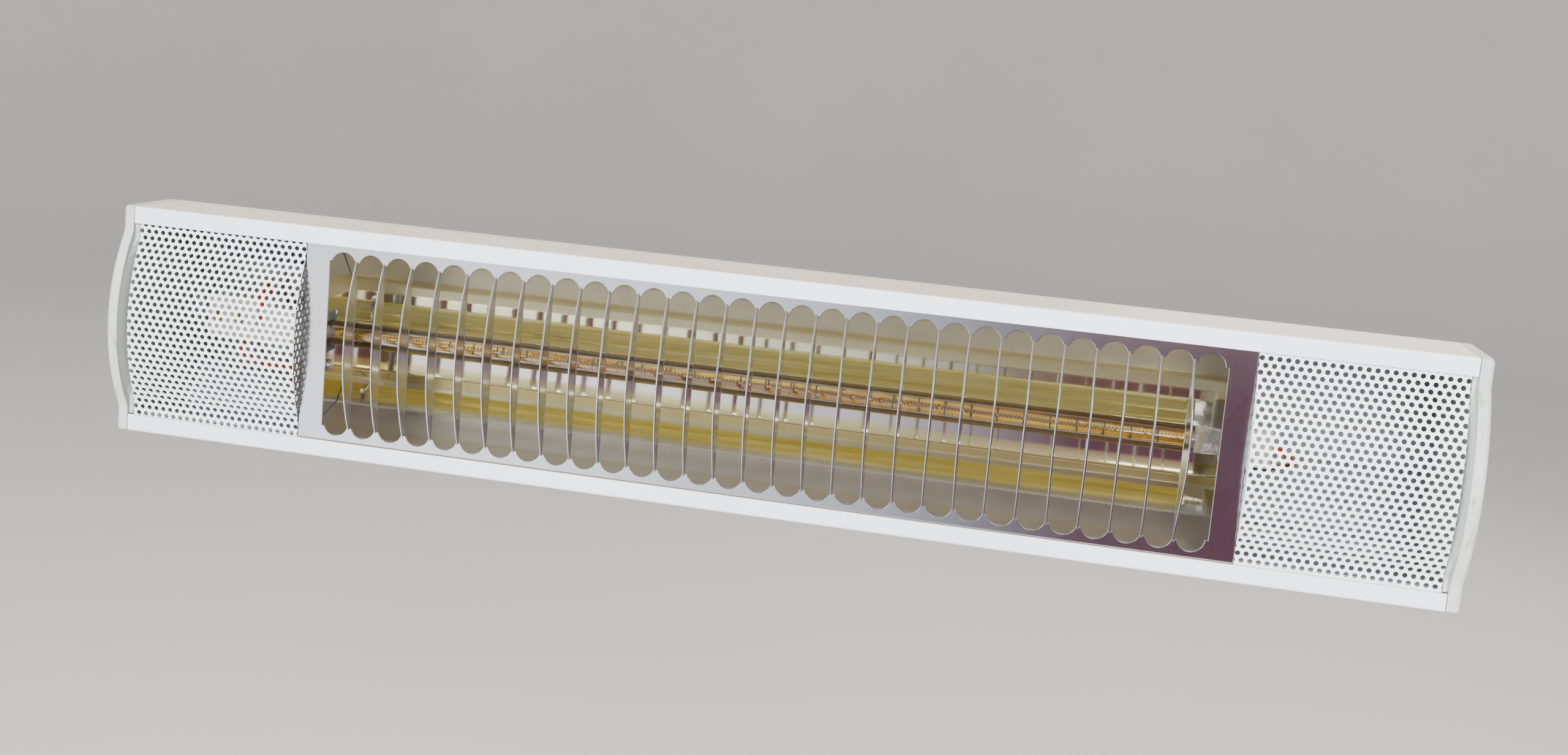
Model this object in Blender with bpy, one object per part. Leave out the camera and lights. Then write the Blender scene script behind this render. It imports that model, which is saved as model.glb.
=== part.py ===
"""Wall-mounted infrared heater with a slotted guard and a gold-coated quartz lamp.

Units are metres and +Z is up. The origin is on the wall, at the centre of the
wall bracket. The heater faces -Y and its length runs along X. Everything that
tilts hangs under one empty, whose origin lies on the tilt axis. Inside that
frame a "depth" is measured backwards from the guard's front face.
"""

import math

import bmesh
import bpy
from mathutils import Vector

# ---------------------------------------------------------------- overall
LENGTH = 0.600            # over the two end caps
HEIGHT = 0.106            # over the housing
DEPTH = 0.062             # guard face to the housing's back
GAP = 0.0003              # between pieces that touch

# ---------------------------------------------------------------- housing
WALL = 0.0016             # extrusion wall
RAIL_W = 0.0079           # front rails beside the opening
RAIL_PROUD = 0.0015       # rails stand this far in front of the guard
CORNER_R = 0.0014         # outer front corners
TOP_FLAT = 0.033          # depth at which the flat sides turn to the back
BACK_HALF = 0.028         # half height of the flat back
GROOVE_RIB = 0.0014       # rib behind the guard, and ledge behind the reflector
GROOVE_REACH = 0.0039     # how far the rib stands out from the wall
LEDGE_REACH = 0.0050      # the same for the ledge
SHEET = 0.0010            # guard sheet, and the groove that it slides in
LEDGE_DEPTH = 0.0062      # front of the ledge that carries the reflector
T_MOUTH = 0.0066          # T-slot in the back, for M6 bolts
T_WIDTH = 0.0124
T_HEAD = 0.0042
T_LIP = 0.0018
T_PLAY = 0.0002           # bolt head in the T-slot

# ---------------------------------------------------------------- end caps
CAP_T = 0.0053            # thickness of a cap
CAP_LIP = 0.0021          # sloping lip inside a cap
CAP_BULGE = 0.0110        # how far a cap bulges in front of the rails
CAP_SHOULDER = 0.0115     # flat height between that bulge and the outside
CAP_FILLET = 0.0060
CAP_ROUND = 0.0012        # rounded outer edge
LIP_FILLET = 0.0020
LIP_DROP = 0.0004         # the lip starts this far below the cap's front
LIP_SINK = 0.0030         # and ends this far below the grille's front
LIP_BACK = 0.0040         # depth of the lip's rear face
TONGUE = 0.0070           # reach of the locating tongues into the housing
TONGUE_T = 0.0022
TONGUE_DEPTH = 0.0200     # front end of the tongues
TONGUE_PLAY = 0.0004      # between a tongue and the housing's wall
EMBED = 0.0010            # overlap of shapes that are joined into one

# ---------------------------------------------------------------- guard
SLOT_COUNT = 30
SLOT_PITCH = 0.0132
SLOT_WEB = 0.0018         # sheet between two slots' round ends
SLOT_MARGIN = 0.0028      # sheet between a slot's end and the rail
NOTCH_UP = 0.0016         # relief notch beside each rib, past the end's centre
RIB_T = 0.0009            # rib thickness, cut and folded from the sheet
RIB_BOW = 0.0090          # how far the ribs bow forwards
RIB_BACK_BOW = 0.0014     # and how far their rear edges do
RIB_ROOT = 0.0008         # the ribs' rear edges reach this deep into the sheet
END_SLOT_OUT = 0.0071     # outer side of the first and last slot
GUARD_MARGIN = 0.0110     # plate beyond the end slots

# ---------------------------------------------------------------- grilles
GRILLE_SHEET = 0.0008
GRILLE_BULGE = 0.0080
GRILLE_MARGIN = 0.0071    # flat strip between the bulge and the rail
GRILLE_FILLET = 0.0100
FLANGE_PLAY = 0.0002      # between the bent flange and both sheets' faces

# ---------------------------------------------------------------- reflector
REFLECTOR_T = 0.0008
REFLECTOR_SHORT = 0.0015  # the trough ends this far inside the guard

# ---------------------------------------------------------------- lamp
LAMP_DEPTH = 0.0250       # lamp axis behind the guard face
LAMP_CENTRE = -0.0090     # lamp sits a little to the left
TUBE_SHORT = 0.0180       # tube is this much shorter than the reflector
TUBE_R = 0.0060
TUBE_WALL = 0.0011
COIL_R = 0.0009
RING_R = 0.0036
RING_T = 0.0010
RING_COUNT = 33
RING_START = 0.0150       # first ring from the tube's end
COIL_PLAY = 0.0004        # between the coil's end and the pinch
PINCH_LEN = 0.0120
PINCH_NECK = 0.0040       # length over which the tube is pressed flat
PINCH_NECK_Y = 0.0024
PINCH_END_Y = 0.0017
BASE_LEN = 0.0200
BASE_HALF_Y = 0.0048
BASE_HALF_Z = 0.0085
BASE_EDGE = 0.0010        # rounding of ceramic edges
LEAD_SOCKET = 0.0060      # bore in a base for its lead
WINDOW_PLAY = 0.0008      # clearance round a base in the reflector's end

# ---------------------------------------------------------------- fasteners
M6_HOLE = 0.0033
M6_R = 0.0029
HEX_R = 0.0056            # over the corners of an M6 head
HEAD_H = 0.0040
NUT_H = 0.0050
THREAD_OUT = 0.0022       # bolt standing out of its nut
PORT_HOLE = 0.0019        # screw ports in the extrusion
PORT_R = 0.0036
PORT_DEPTHS = (0.0140, 0.0500)
PORT_SINK = 0.0031        # from the housing's inner face to a port's centre
CAP_SCREW_R = 0.0016
CAP_SCREW_LEN = 0.0150
CAP_SCREW_TIP = 0.0015
CAP_HEAD_R = 0.0032
CAP_HEAD_H = 0.0021
CAP_HOLE_PLAY = 0.0005
CAP_HEAD_PLAY = 0.0004
SOCKET_R = 0.0011
RIVET_R = 0.0015
RIVET_HOLE = 0.0019
RIVET_HEAD_R = 0.0030
RIVET_TAIL_R = 0.0026
RIVET_DROP = 0.0075       # rivet below the lamp base

# ---------------------------------------------------------------- bracket
PIVOT_REAR = 0.026        # tilt axis behind the housing's back
PIVOT_WALL = 0.038        # tilt axis in front of the wall
STEEL = 0.0025            # bracket steel
YOKE_HALF = 0.072         # half width over the yoke's arms
YOKE_HALF_Z = 0.014
YOKE_BOLT_X = 0.045
EAR_GAP = 0.0016          # between a yoke arm and a wall ear
EAR_RIM = 0.0033          # ear beyond the curved slot
EAR_INSET = 0.0040        # ear's foot, from the plate's edge
ARM_R = 0.0110
LOCK_R = 0.0155           # lock screw to tilt axis
LOCK_SHANK = 0.0022
LOCK_SLOT_HALF = 0.0027
TILT_UP = 30.0            # degrees
TILT_DOWN = 60.0
TILT_SPARE = 1.0
WALL_HALF_Z = 0.032
WALL_SCREW_X = 0.055
WALL_SCREW_HALF = 0.0120  # half distance between a screw slot's end centres
WALL_SCREW_R = 0.0030
WASHER_R = 0.0085
KNOB_R = 0.0085
KNOB_H = 0.0120
KNOB_LOBES = 5
KNOB_LOBE = 0.10          # depth of the lobes, as a share of the radius
STUD_OUT = 0.0040         # lock screw past the yoke's arm

# ---------------------------------------------------------------- wiring
GLAND_OFF = 0.0420        # gland beyond the reflector's left end
GLAND_Z = -0.0185
GLAND_R = 0.0080
GLAND_BORE = 0.0042
GLAND_SEAT = 0.0058       # bore of the body, round the seal
GLAND_IN = 0.0040         # thread inside the housing
GLAND_OUT = 0.0080        # thread outside it
GLAND_HEX_R = 0.0100
GLAND_HEX_H = 0.0040
GLAND_LOCK_H = 0.0030
GLAND_NUT_R = 0.0098
GLAND_NUT_H = 0.0075
GLAND_NOSE_R = 0.0068
GLAND_NOSE_H = 0.0035
SEAL_SQUEEZE = 0.0010     # the seal's bore is this much under the nut's
BLOCK_OFF = 0.0490        # terminal block beyond the reflector's left end
BLOCK_PITCH = 0.0110
BLOCK_HALF_Z = 0.0100
BLOCK_H = 0.0150
BLOCK_WIRE_R = 0.0023
BLOCK_SCREW_R = 0.0022
BLOCK_ENTRY = 0.0065      # wire holes in front of the plate
PLATE_DEPTH = 0.0440      # terminal plate behind the guard face
PLATE_HALF = 0.0260
PLATE_T = 0.0012
PLATE_HEM = 0.0050
LEAD_R = 0.0013

# ---------------------------------------------------------------- derived
HALF_Z = HEIGHT / 2
CAP_INNER = LENGTH / 2 - CAP_T
HOUSING_HALF = CAP_INNER - GAP
OPENING_HALF = HALF_Z - RAIL_W
SLOT_END_R = (SLOT_PITCH - SLOT_WEB) / 2
SLOT_APEX = OPENING_HALF - SLOT_MARGIN
CAP_CHORD = HALF_Z - CAP_SHOULDER
GRILLE_CHORD = OPENING_HALF - GRILLE_MARGIN
GUARD_HALF = (SLOT_COUNT - 1) * SLOT_PITCH / 2 + END_SLOT_OUT + GUARD_MARGIN
GRILLE_IN = GUARD_HALF + GAP
GRILLE_OUT = CAP_INNER - CAP_LIP - GAP
SHEET_HALF_Z = HALF_Z - WALL - 0.0005
SLOT_CENTRE_Z = SLOT_APEX - SLOT_END_R
BACK_TURN = HALF_Z - BACK_HALF
BACK_Y = -PIVOT_REAR      # housing back, in the tilting frame
LAMP_Y = BACK_Y - DEPTH + LAMP_DEPTH
REFLECTOR_HALF = GUARD_HALF - REFLECTOR_SHORT
TUBE_LEN = 2 * REFLECTOR_HALF - TUBE_SHORT
TUBE_LEFT = LAMP_CENTRE - TUBE_LEN / 2
TUBE_RIGHT = LAMP_CENTRE + TUBE_LEN / 2
GLAND_X = -(REFLECTOR_HALF + GLAND_OFF)
BLOCK_X = -(REFLECTOR_HALF + BLOCK_OFF)
BLOCK_FRONT = DEPTH + PIVOT_REAR - PLATE_DEPTH + GAP
EAR_IN = YOKE_HALF + EAR_GAP
EAR_OUT = EAR_IN + STEEL
EAR_R = LOCK_R + LOCK_SLOT_HALF + EAR_RIM

# The reflector's bends, upper half, as (depth, height below the opening's
# edge) from front to back. The last one lies on the centre line.
REFLECTOR_BENDS = (
    (0.0048, -0.0044),
    (0.0048, 0.0020),
    (0.0160, 0.0036),
    (0.0355, 0.0091),
    (0.0445, 0.0201),
    (0.0496, 0.0231),
    (0.0502, 0.0286),
    (0.0506, OPENING_HALF),
)


def depth_y(depth):
    """Turn a depth behind the guard face into Y in the tilting frame."""
    return depth - DEPTH - PIVOT_REAR


# ======================================================================
# Helpers
# ======================================================================
def clear_scene():
    for obj in list(bpy.data.objects):
        bpy.data.objects.remove(obj, do_unlink=True)
    for mesh in list(bpy.data.meshes):
        bpy.data.meshes.remove(mesh)


def material(name, colour, roughness, metallic, alpha=1.0):
    mat = bpy.data.materials.new(name)
    mat.use_nodes = True
    shader = mat.node_tree.nodes["Principled BSDF"]
    shader.inputs["Base Color"].default_value = (*colour, 1.0)
    shader.inputs["Roughness"].default_value = roughness
    shader.inputs["Metallic"].default_value = metallic
    shader.inputs["Alpha"].default_value = alpha
    return mat


def make_object(name, bm, mat, parent=None, location=(0, 0, 0)):
    """Store a bmesh as an object whose faces point outwards."""
    bmesh.ops.recalc_face_normals(bm, faces=bm.faces)
    mesh = bpy.data.meshes.new(name)
    bm.to_mesh(mesh)
    bm.free()
    obj = bpy.data.objects.new(name, mesh)
    bpy.context.scene.collection.objects.link(obj)
    obj.location = location
    if mat is not None:
        mesh.materials.append(mat)
    if parent is not None:
        obj.parent = parent
    return obj


def smooth(obj, degrees=35.0):
    obj.data.shade_smooth()
    obj.data.set_sharp_from_angle(angle=math.radians(degrees))
    return obj


def to_xyz(axis, along, first, second):
    """Place a section point: X takes (y, z), Y takes (x, z), Z takes (x, y)."""
    if axis == "X":
        return Vector((along, first, second))
    if axis == "Y":
        return Vector((first, along, second))
    return Vector((first, second, along))


def prism(outline, axis, start, end):
    """Extrude a closed outline along an axis."""
    bm = bmesh.new()
    base = [bm.verts.new(to_xyz(axis, start, *point)) for point in outline]
    face = bm.faces.new(base)
    move = to_xyz(axis, end - start, 0.0, 0.0)
    extruded = bmesh.ops.extrude_face_region(bm, geom=[face])
    top = [item for item in extruded["geom"] if isinstance(item, bmesh.types.BMVert)]
    bmesh.ops.translate(bm, verts=top, vec=move)
    return bm


def loft(rings):
    """Skin equal-length rings of points and close both ends."""
    bm = bmesh.new()
    loops = [[bm.verts.new(point) for point in ring] for ring in rings]
    count = len(loops[0])
    for near, far in zip(loops, loops[1:]):
        for i in range(count):
            j = (i + 1) % count
            bm.faces.new((near[i], near[j], far[j], far[i]))
    bm.faces.new(loops[0])
    bm.faces.new(loops[-1])
    return bm


def box(x0, x1, y0, y1, z0, z1):
    return prism([(y0, z0), (y1, z0), (y1, z1), (y0, z1)], "X", x0, x1)


def circle(centre, radius, count, turn=0.0):
    points = []
    for i in range(count):
        angle = turn + 2 * math.pi * i / count
        points.append((centre[0] + radius * math.cos(angle), centre[1] + radius * math.sin(angle)))
    return points


def arc(centre, radius, start, end, steps):
    """Points on an arc, angles in degrees, both ends included."""
    points = []
    for i in range(steps + 1):
        angle = math.radians(start + (end - start) * i / steps)
        points.append((centre[0] + radius * math.cos(angle), centre[1] + radius * math.sin(angle)))
    return points


def polar(radius, degrees):
    angle = math.radians(degrees)
    return (radius * math.cos(angle), radius * math.sin(angle))


def rod(axis, start, end, centre, radius, count=16, turn=0.0):
    return prism(circle(centre, radius, count, turn), axis, start, end)


def turned(axis, centre, profile, count=16):
    """Revolve (along, radius) pairs about an axis through centre."""
    rings = []
    for along, radius in profile:
        rings.append([to_xyz(axis, along, *point) for point in circle(centre, radius, count)])
    return loft(rings)


def tube(axis, centre, start, end, outer, inner, count=20):
    """An open pipe."""
    bm = bmesh.new()
    loops = []
    for along, radius in ((start, outer), (end, outer), (end, inner), (start, inner)):
        ring = [bm.verts.new(to_xyz(axis, along, *point)) for point in circle(centre, radius, count)]
        loops.append(ring)
    for k in range(4):
        near = loops[k]
        far = loops[(k + 1) % 4]
        for i in range(count):
            j = (i + 1) % count
            bm.faces.new((near[i], near[j], far[j], far[i]))
    return bm


def boolean(obj, bm, operation):
    """Apply one exact Boolean with a throwaway tool made from a bmesh."""
    tool = make_object(obj.name + "_tool", bm, None)
    tool.hide_render = True
    tool.display_type = "WIRE"
    if obj.parent is not None:
        tool.parent = obj.parent
    tool.location = obj.location
    mod = obj.modifiers.new("cut", "BOOLEAN")
    mod.operation = operation
    mod.solver = "EXACT"
    mod.object = tool
    bpy.context.view_layer.update()
    graph = bpy.context.evaluated_depsgraph_get()
    result = bpy.data.meshes.new_from_object(obj.evaluated_get(graph))
    old = obj.data
    name = old.name
    obj.modifiers.clear()
    obj.data = result
    bpy.data.meshes.remove(old)
    result.name = name
    tool_mesh = tool.data
    bpy.data.objects.remove(tool, do_unlink=True)
    bpy.data.meshes.remove(tool_mesh)
    return obj


def cut(obj, *tools):
    for bm in tools:
        boolean(obj, bm, "DIFFERENCE")
    return obj


def join(obj, *tools):
    for bm in tools:
        boolean(obj, bm, "UNION")
    return obj


def bulge_path(half, rise, fillet, arc_steps, fillet_steps):
    """Upper half of a bulge as (forward, height): apex first, then down a
    large arc and round a concave fillet on to the flat."""
    radius = (half * half + rise * rise) / (2 * rise)
    centre = rise - radius
    foot = math.sqrt((radius + fillet) ** 2 - (fillet - centre) ** 2)
    meet = math.asin(foot / (radius + fillet))
    points = []
    for i in range(arc_steps + 1):
        angle = meet * i / arc_steps
        points.append((centre + radius * math.cos(angle), radius * math.sin(angle)))
    for i in range(1, fillet_steps + 1):
        angle = meet * (1 - i / fillet_steps)
        points.append((fillet - fillet * math.cos(angle), foot - fillet * math.sin(angle)))
    return points


def mirrored(points):
    """Mirror an upper half path, given from the middle outwards."""
    lower = [(a, -b) for a, b in reversed(points) if abs(b) > 1e-9]
    return lower + list(points)


def offset_path(points, distance):
    """Offset an open path to its left side with mitred corners."""
    result = []
    for i, point in enumerate(points):
        here = Vector(point)
        normals = []
        if i > 0:
            step = (here - Vector(points[i - 1])).normalized()
            normals.append(Vector((-step.y, step.x)))
        if i < len(points) - 1:
            step = (Vector(points[i + 1]) - here).normalized()
            normals.append(Vector((-step.y, step.x)))
        normal = sum(normals, Vector((0.0, 0.0))).normalized()
        scale = distance / max(0.3, normal.dot(normals[0]))
        result.append(tuple(here + normal * scale))
    return result


# ======================================================================
# Housing and caps
# ======================================================================
def back_curve(inset, steps=8):
    """Elliptical turn from the flat side to the flat back, as (depth, z)."""
    points = []
    for i in range(steps + 1):
        angle = math.pi / 2 * i / steps
        depth = TOP_FLAT + (DEPTH - TOP_FLAT - inset) * math.sin(angle)
        points.append((depth, BACK_HALF + (BACK_TURN - inset) * math.cos(angle)))
    return points


def housing_outline():
    front = -RAIL_PROUD
    corner = (front + CORNER_R, HALF_Z - CORNER_R)
    slot_in = DEPTH - T_LIP
    slot_end = slot_in - T_HEAD
    inner_top = HALF_Z - WALL
    ledge_end = inner_top - LEDGE_REACH
    rib_end = inner_top - GROOVE_REACH
    ledge_rear = LEDGE_DEPTH + GROOVE_RIB
    rib_front = SHEET + GAP
    rib_rear = rib_front + GROOVE_RIB
    outer = [(front, OPENING_HALF)]
    outer += arc(corner, CORNER_R, 180, 90, 4)
    outer += back_curve(0.0)
    outer += [(DEPTH, T_MOUTH / 2), (slot_in, T_MOUTH / 2)]
    outer += [(slot_in, T_WIDTH / 2), (slot_end, T_WIDTH / 2)]
    inner = [(slot_end - WALL, T_WIDTH / 2 + WALL), (DEPTH - WALL, T_WIDTH / 2 + WALL)]
    inner += list(reversed(back_curve(WALL)))
    inner += [(ledge_rear, inner_top), (ledge_rear, ledge_end)]
    inner += [(LEDGE_DEPTH, ledge_end), (LEDGE_DEPTH, inner_top)]
    inner += [(rib_rear, inner_top), (rib_rear, rib_end)]
    inner += [(rib_front, rib_end), (rib_front, inner_top)]
    inner += [(-GAP, inner_top), (-GAP, OPENING_HALF)]
    lower_outer = [(d, -z) for d, z in reversed(outer)]
    lower_inner = [(d, -z) for d, z in reversed(inner)]
    return [(depth_y(d), z) for d, z in outer + lower_outer + lower_inner + inner]


def port_centres():
    """Centres of the four screw ports, each merged with the housing's wall."""
    centres = []
    for depth in PORT_DEPTHS:
        along = max(0.0, (depth - TOP_FLAT) / (DEPTH - TOP_FLAT - WALL))
        inner = BACK_HALF + (BACK_TURN - WALL) * math.sqrt(1.0 - along ** 2)
        centres += [(depth_y(depth), side * (inner - PORT_SINK)) for side in (1, -1)]
    return centres


def build_housing(parent, mat):
    bm = prism(housing_outline(), "X", -HOUSING_HALF, HOUSING_HALF)
    obj = make_object("housing_extrusion", bm, mat, parent)
    for centre in port_centres():
        join(obj, rod("X", -HOUSING_HALF, HOUSING_HALF, centre, PORT_R, 12))
    for centre in port_centres():
        cut(obj, rod("X", -LENGTH, LENGTH, centre, PORT_HOLE, 10))
    cut(obj, rod("Y", BACK_Y - 2 * WALL, BACK_Y + WALL, (GLAND_X, GLAND_Z), GLAND_R + GAP, 20))
    return smooth(obj)


def cap_outline():
    """Closed outline of a cap: the housing's outside with a bulging front."""
    front = -RAIL_PROUD
    corner = (front + CORNER_R, HALF_Z - CORNER_R)
    bulge = [(front - f, z) for f, z in bulge_path(CAP_CHORD, CAP_BULGE, CAP_FILLET, 8, 3)]
    upper = bulge + arc(corner, CORNER_R, 180, 90, 4) + back_curve(0.0)
    outline = mirrored(upper)
    return [(depth_y(d), z) for d, z in outline]


def lip_rings(side):
    """The cap's lip slopes from the cap's front down past the grille's edge,
    and closes the corner between the grille and the rail."""
    rings = []
    top = CAP_BULGE + RAIL_PROUD - LIP_DROP
    stations = (
        (CAP_INNER + EMBED, top),
        (CAP_INNER, top),
        (CAP_INNER - CAP_LIP, GRILLE_BULGE - LIP_SINK),
    )
    corner = OPENING_HALF - GAP
    for x, rise in stations:
        path = bulge_path(GRILLE_CHORD, rise, LIP_FILLET, 8, 2) + [(0.0, corner)]
        ring = [(-f, z) for f, z in mirrored(path)] + [(LIP_BACK, corner), (LIP_BACK, -corner)]
        rings.append([Vector((side * x, depth_y(d), z)) for d, z in ring])
    return rings


def tongue(side, up):
    """Reaches into the housing, under its flat side."""
    x0, x1 = sorted((side * (CAP_INNER - TONGUE), side * (CAP_INNER + EMBED)))
    top = HALF_Z - WALL - TONGUE_PLAY
    z0, z1 = sorted((up * top, up * (top - TONGUE_T)))
    return box(x0, x1, depth_y(TONGUE_DEPTH), depth_y(TOP_FLAT), z0, z1)


def build_cap(name, side, parent, mat):
    outer = side * LENGTH / 2
    bm = prism(cap_outline(), "X", side * CAP_INNER, outer)
    edges = [e for e in bm.edges if all(abs(v.co.x - outer) < 1e-7 for v in e.verts)]
    bmesh.ops.bevel(bm, geom=edges, offset=CAP_ROUND, segments=1, profile=0.5, affect="EDGES")
    obj = make_object(name, bm, mat, parent)
    join(obj, loft(lip_rings(side)), tongue(side, 1), tongue(side, -1))
    inner = side * (CAP_INNER - TONGUE)
    beyond = outer + side * EMBED
    seat = outer - side * (CAP_HEAD_H + CAP_HEAD_PLAY)
    for centre in port_centres():
        cut(obj, rod("X", inner, beyond, centre, CAP_SCREW_R + CAP_HOLE_PLAY, 12))
        cut(obj, rod("X", seat, beyond, centre, CAP_HEAD_R + CAP_HEAD_PLAY, 16))
    return smooth(obj)


def build_cap_screw(name, side, centre, parent, mat):
    """Self-tapping screw, sunk into its counterbore."""
    seat = LENGTH / 2 - CAP_HEAD_H
    profile = (
        (seat - CAP_SCREW_LEN, CAP_SCREW_R * 0.6),
        (seat - CAP_SCREW_LEN + CAP_SCREW_TIP, CAP_SCREW_R),
        (seat, CAP_SCREW_R),
        (seat, CAP_HEAD_R),
        (seat + CAP_HEAD_H * 0.6, CAP_HEAD_R * 0.94),
        (seat + CAP_HEAD_H - GAP, CAP_HEAD_R * 0.6),
    )
    profile = [(side * x, radius) for x, radius in profile]
    screw = make_object(name, turned("X", centre, profile, 8), mat, parent)
    cut(screw, rod("X", side * (seat + CAP_HEAD_H * 0.3), side * (LENGTH / 2 + EMBED), centre, SOCKET_R, 6))
    return smooth(screw)


def build_cap_screws(parent, mat):
    for side, word in ((-1, "left"), (1, "right")):
        for i, centre in enumerate(port_centres()):
            build_cap_screw("cap_screw_%s_%d" % (word, i + 1), side, centre, parent, mat)


# ======================================================================
# Guard and grilles
# ======================================================================
def slot_outline():
    """One slot: round ends, a straight left side set out past the ends, so
    that a notch is left beside the rib that was folded out of it."""
    left = -(SLOT_PITCH / 2)
    top = SLOT_CENTRE_Z + NOTCH_UP
    meet = math.degrees(math.asin(NOTCH_UP / SLOT_END_R))
    upper = arc((0.0, SLOT_CENTRE_Z), SLOT_END_R, 0, 180 - meet, 6)
    lower = arc((0.0, -SLOT_CENTRE_Z), SLOT_END_R, 180 + meet, 360, 6)
    return upper + [(left, top), (left, -top)] + lower


def slot_centre(index):
    return (index - (SLOT_COUNT - 1) / 2) * SLOT_PITCH


def bow(reach, rise, steps):
    """Arc through (0, reach) and (rise, 0), as (forward, height) from the top."""
    radius = (reach * reach + rise * rise) / (2 * rise)
    spread = math.degrees(math.asin(reach / radius))
    return arc((rise - radius, 0.0), radius, spread, -spread, steps)


def rib_outline():
    """Side view of a rib: a bowed front edge and a nearly straight back."""
    reach = SLOT_CENTRE_Z + NOTCH_UP + EMBED
    front = [(-f, z) for f, z in bow(reach, RIB_BOW, 9)]
    back = [(RIB_ROOT - f, z) for f, z in bow(reach, RIB_BACK_BOW, 3)]
    return [(depth_y(d), z) for d, z in front + list(reversed(back))]


def build_guard(parent, mat):
    y0 = depth_y(0.0)
    y1 = depth_y(SHEET)
    obj = make_object("front_guard", box(-GUARD_HALF, GUARD_HALF, y0, y1, -SHEET_HALF_Z, SHEET_HALF_Z),
                      mat, parent)
    cutters = bmesh.new()
    for index in range(SLOT_COUNT):
        outline = [(x + slot_centre(index), z) for x, z in slot_outline()]
        add_prism(cutters, outline, "Y", y0 - EMBED, y1 + EMBED)
    boolean(obj, cutters, "DIFFERENCE")
    last = slot_centre(SLOT_COUNT - 1)
    cut(obj, box(last, last + END_SLOT_OUT, y0 - EMBED, y1 + EMBED, -SLOT_CENTRE_Z, SLOT_CENTRE_Z))
    ribs = bmesh.new()
    for index in range(SLOT_COUNT - 1):
        left = slot_centre(index) + SLOT_PITCH / 2 - RIB_T
        add_prism(ribs, rib_outline(), "X", left, left + RIB_T)
    boolean(obj, ribs, "UNION")
    return smooth(obj)


def add_prism(bm, outline, axis, start, end):
    """Add one more closed prism to a bmesh."""
    part = prism(outline, axis, start, end)
    mesh = bpy.data.meshes.new("part")
    bmesh.ops.recalc_face_normals(part, faces=part.faces)
    part.to_mesh(mesh)
    part.free()
    bm.from_mesh(mesh)
    bpy.data.meshes.remove(mesh)


def grille_outline(inset):
    """Section of a grille sheet, set back by an amount."""
    path = [(-f, z) for f, z in bulge_path(GRILLE_CHORD, GRILLE_BULGE, GRILLE_FILLET, 10, 4)]
    path.append((0.0, SHEET_HALF_Z))
    return mirrored([(d + inset, z) for d, z in path])


def build_grille(name, side, parent, mat):
    """Formed sheet with a flange bent down to the guard at its inner edge."""
    outline = grille_outline(0.0) + list(reversed(grille_outline(GRILLE_SHEET)))
    outline = [(depth_y(d), z) for d, z in outline]
    obj = make_object(name, prism(outline, "X", side * GRILLE_IN, side * GRILLE_OUT), mat, parent)
    foot = depth_y(GRILLE_SHEET - FLANGE_PLAY)
    flange = [(depth_y(d + FLANGE_PLAY), z) for d, z in grille_outline(0.0)[1:-1]]
    flange += [(foot, flange[-1][1]), (foot, flange[0][1])]
    join(obj, prism(flange, "X", side * GRILLE_IN, side * (GRILLE_IN + GRILLE_SHEET)))
    return smooth(obj)


# ======================================================================
# Reflector and lamp
# ======================================================================
def reflector_points():
    """The reflector's section from the bottom to the top, as (depth, z)."""
    upper = [(d, OPENING_HALF - drop) for d, drop in REFLECTOR_BENDS]
    lower = [(d, -z) for d, z in upper[:-1]]
    return lower + list(reversed(upper))


def build_reflector(parent, mat):
    path = reflector_points()
    back = offset_path(path, -REFLECTOR_T)
    outline = [(depth_y(d), z) for d, z in path + list(reversed(back))]
    return make_object("reflector", prism(outline, "X", -REFLECTOR_HALF, REFLECTOR_HALF), mat, parent)


def build_reflector_end(name, side, parent, mat):
    """Sheet that closes the trough, with a window for the lamp base."""
    outline = [(depth_y(d), z) for d, z in offset_path(reflector_points(), -REFLECTOR_T)[1:-1]]
    x0 = side * (REFLECTOR_HALF + GAP)
    x1 = side * (REFLECTOR_HALF + GAP + REFLECTOR_T)
    obj = make_object(name, prism(outline, "X", x0, x1), mat, parent)
    half_y = max(BASE_HALF_Y, TUBE_R) + WINDOW_PLAY
    half_z = max(BASE_HALF_Z, TUBE_R) + WINDOW_PLAY
    through = (x0 - side * EMBED, x1 + side * EMBED)
    cut(obj, box(*sorted(through), LAMP_Y - half_y, LAMP_Y + half_y, -half_z, half_z))
    cut(obj, rod("X", *through, rivet_centre(), RIVET_HOLE, 10))
    return obj


def rivet_centre():
    return (LAMP_Y, -(BASE_HALF_Z + RIVET_DROP))


def tube_end(side):
    return TUBE_LEFT if side < 0 else TUBE_RIGHT


def build_filament(parent, mat):
    """The coil as a thin rod, with a disc at each support ring."""
    pitch = (TUBE_LEN - 2 * RING_START) / (RING_COUNT - 1)
    profile = [(TUBE_LEFT + COIL_PLAY, COIL_R)]
    for i in range(RING_COUNT):
        x = TUBE_LEFT + RING_START + i * pitch
        profile += [(x - RING_T / 2, COIL_R), (x, RING_R), (x + RING_T / 2, COIL_R)]
    profile.append((TUBE_RIGHT - COIL_PLAY, COIL_R))
    return make_object("lamp_filament", turned("X", (LAMP_Y, 0.0), profile, 6), mat, parent)


def build_lamp(parent, mats):
    centre = (LAMP_Y, 0.0)
    glass = tube("X", centre, TUBE_LEFT, TUBE_RIGHT, TUBE_R, TUBE_R - TUBE_WALL, 24)
    smooth(make_object("lamp_tube", glass, mats["gold_quartz"], parent))
    build_filament(parent, mats["tungsten"])
    for side, word in ((-1, "left"), (1, "right")):
        start = tube_end(side) + side * (PINCH_LEN + 2 * GAP)
        build_pinch("lamp_pinch_" + word, side, parent, mats["clear_quartz"])
        build_base("lamp_base_" + word, start, side, parent, mats["ceramic"])


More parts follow.
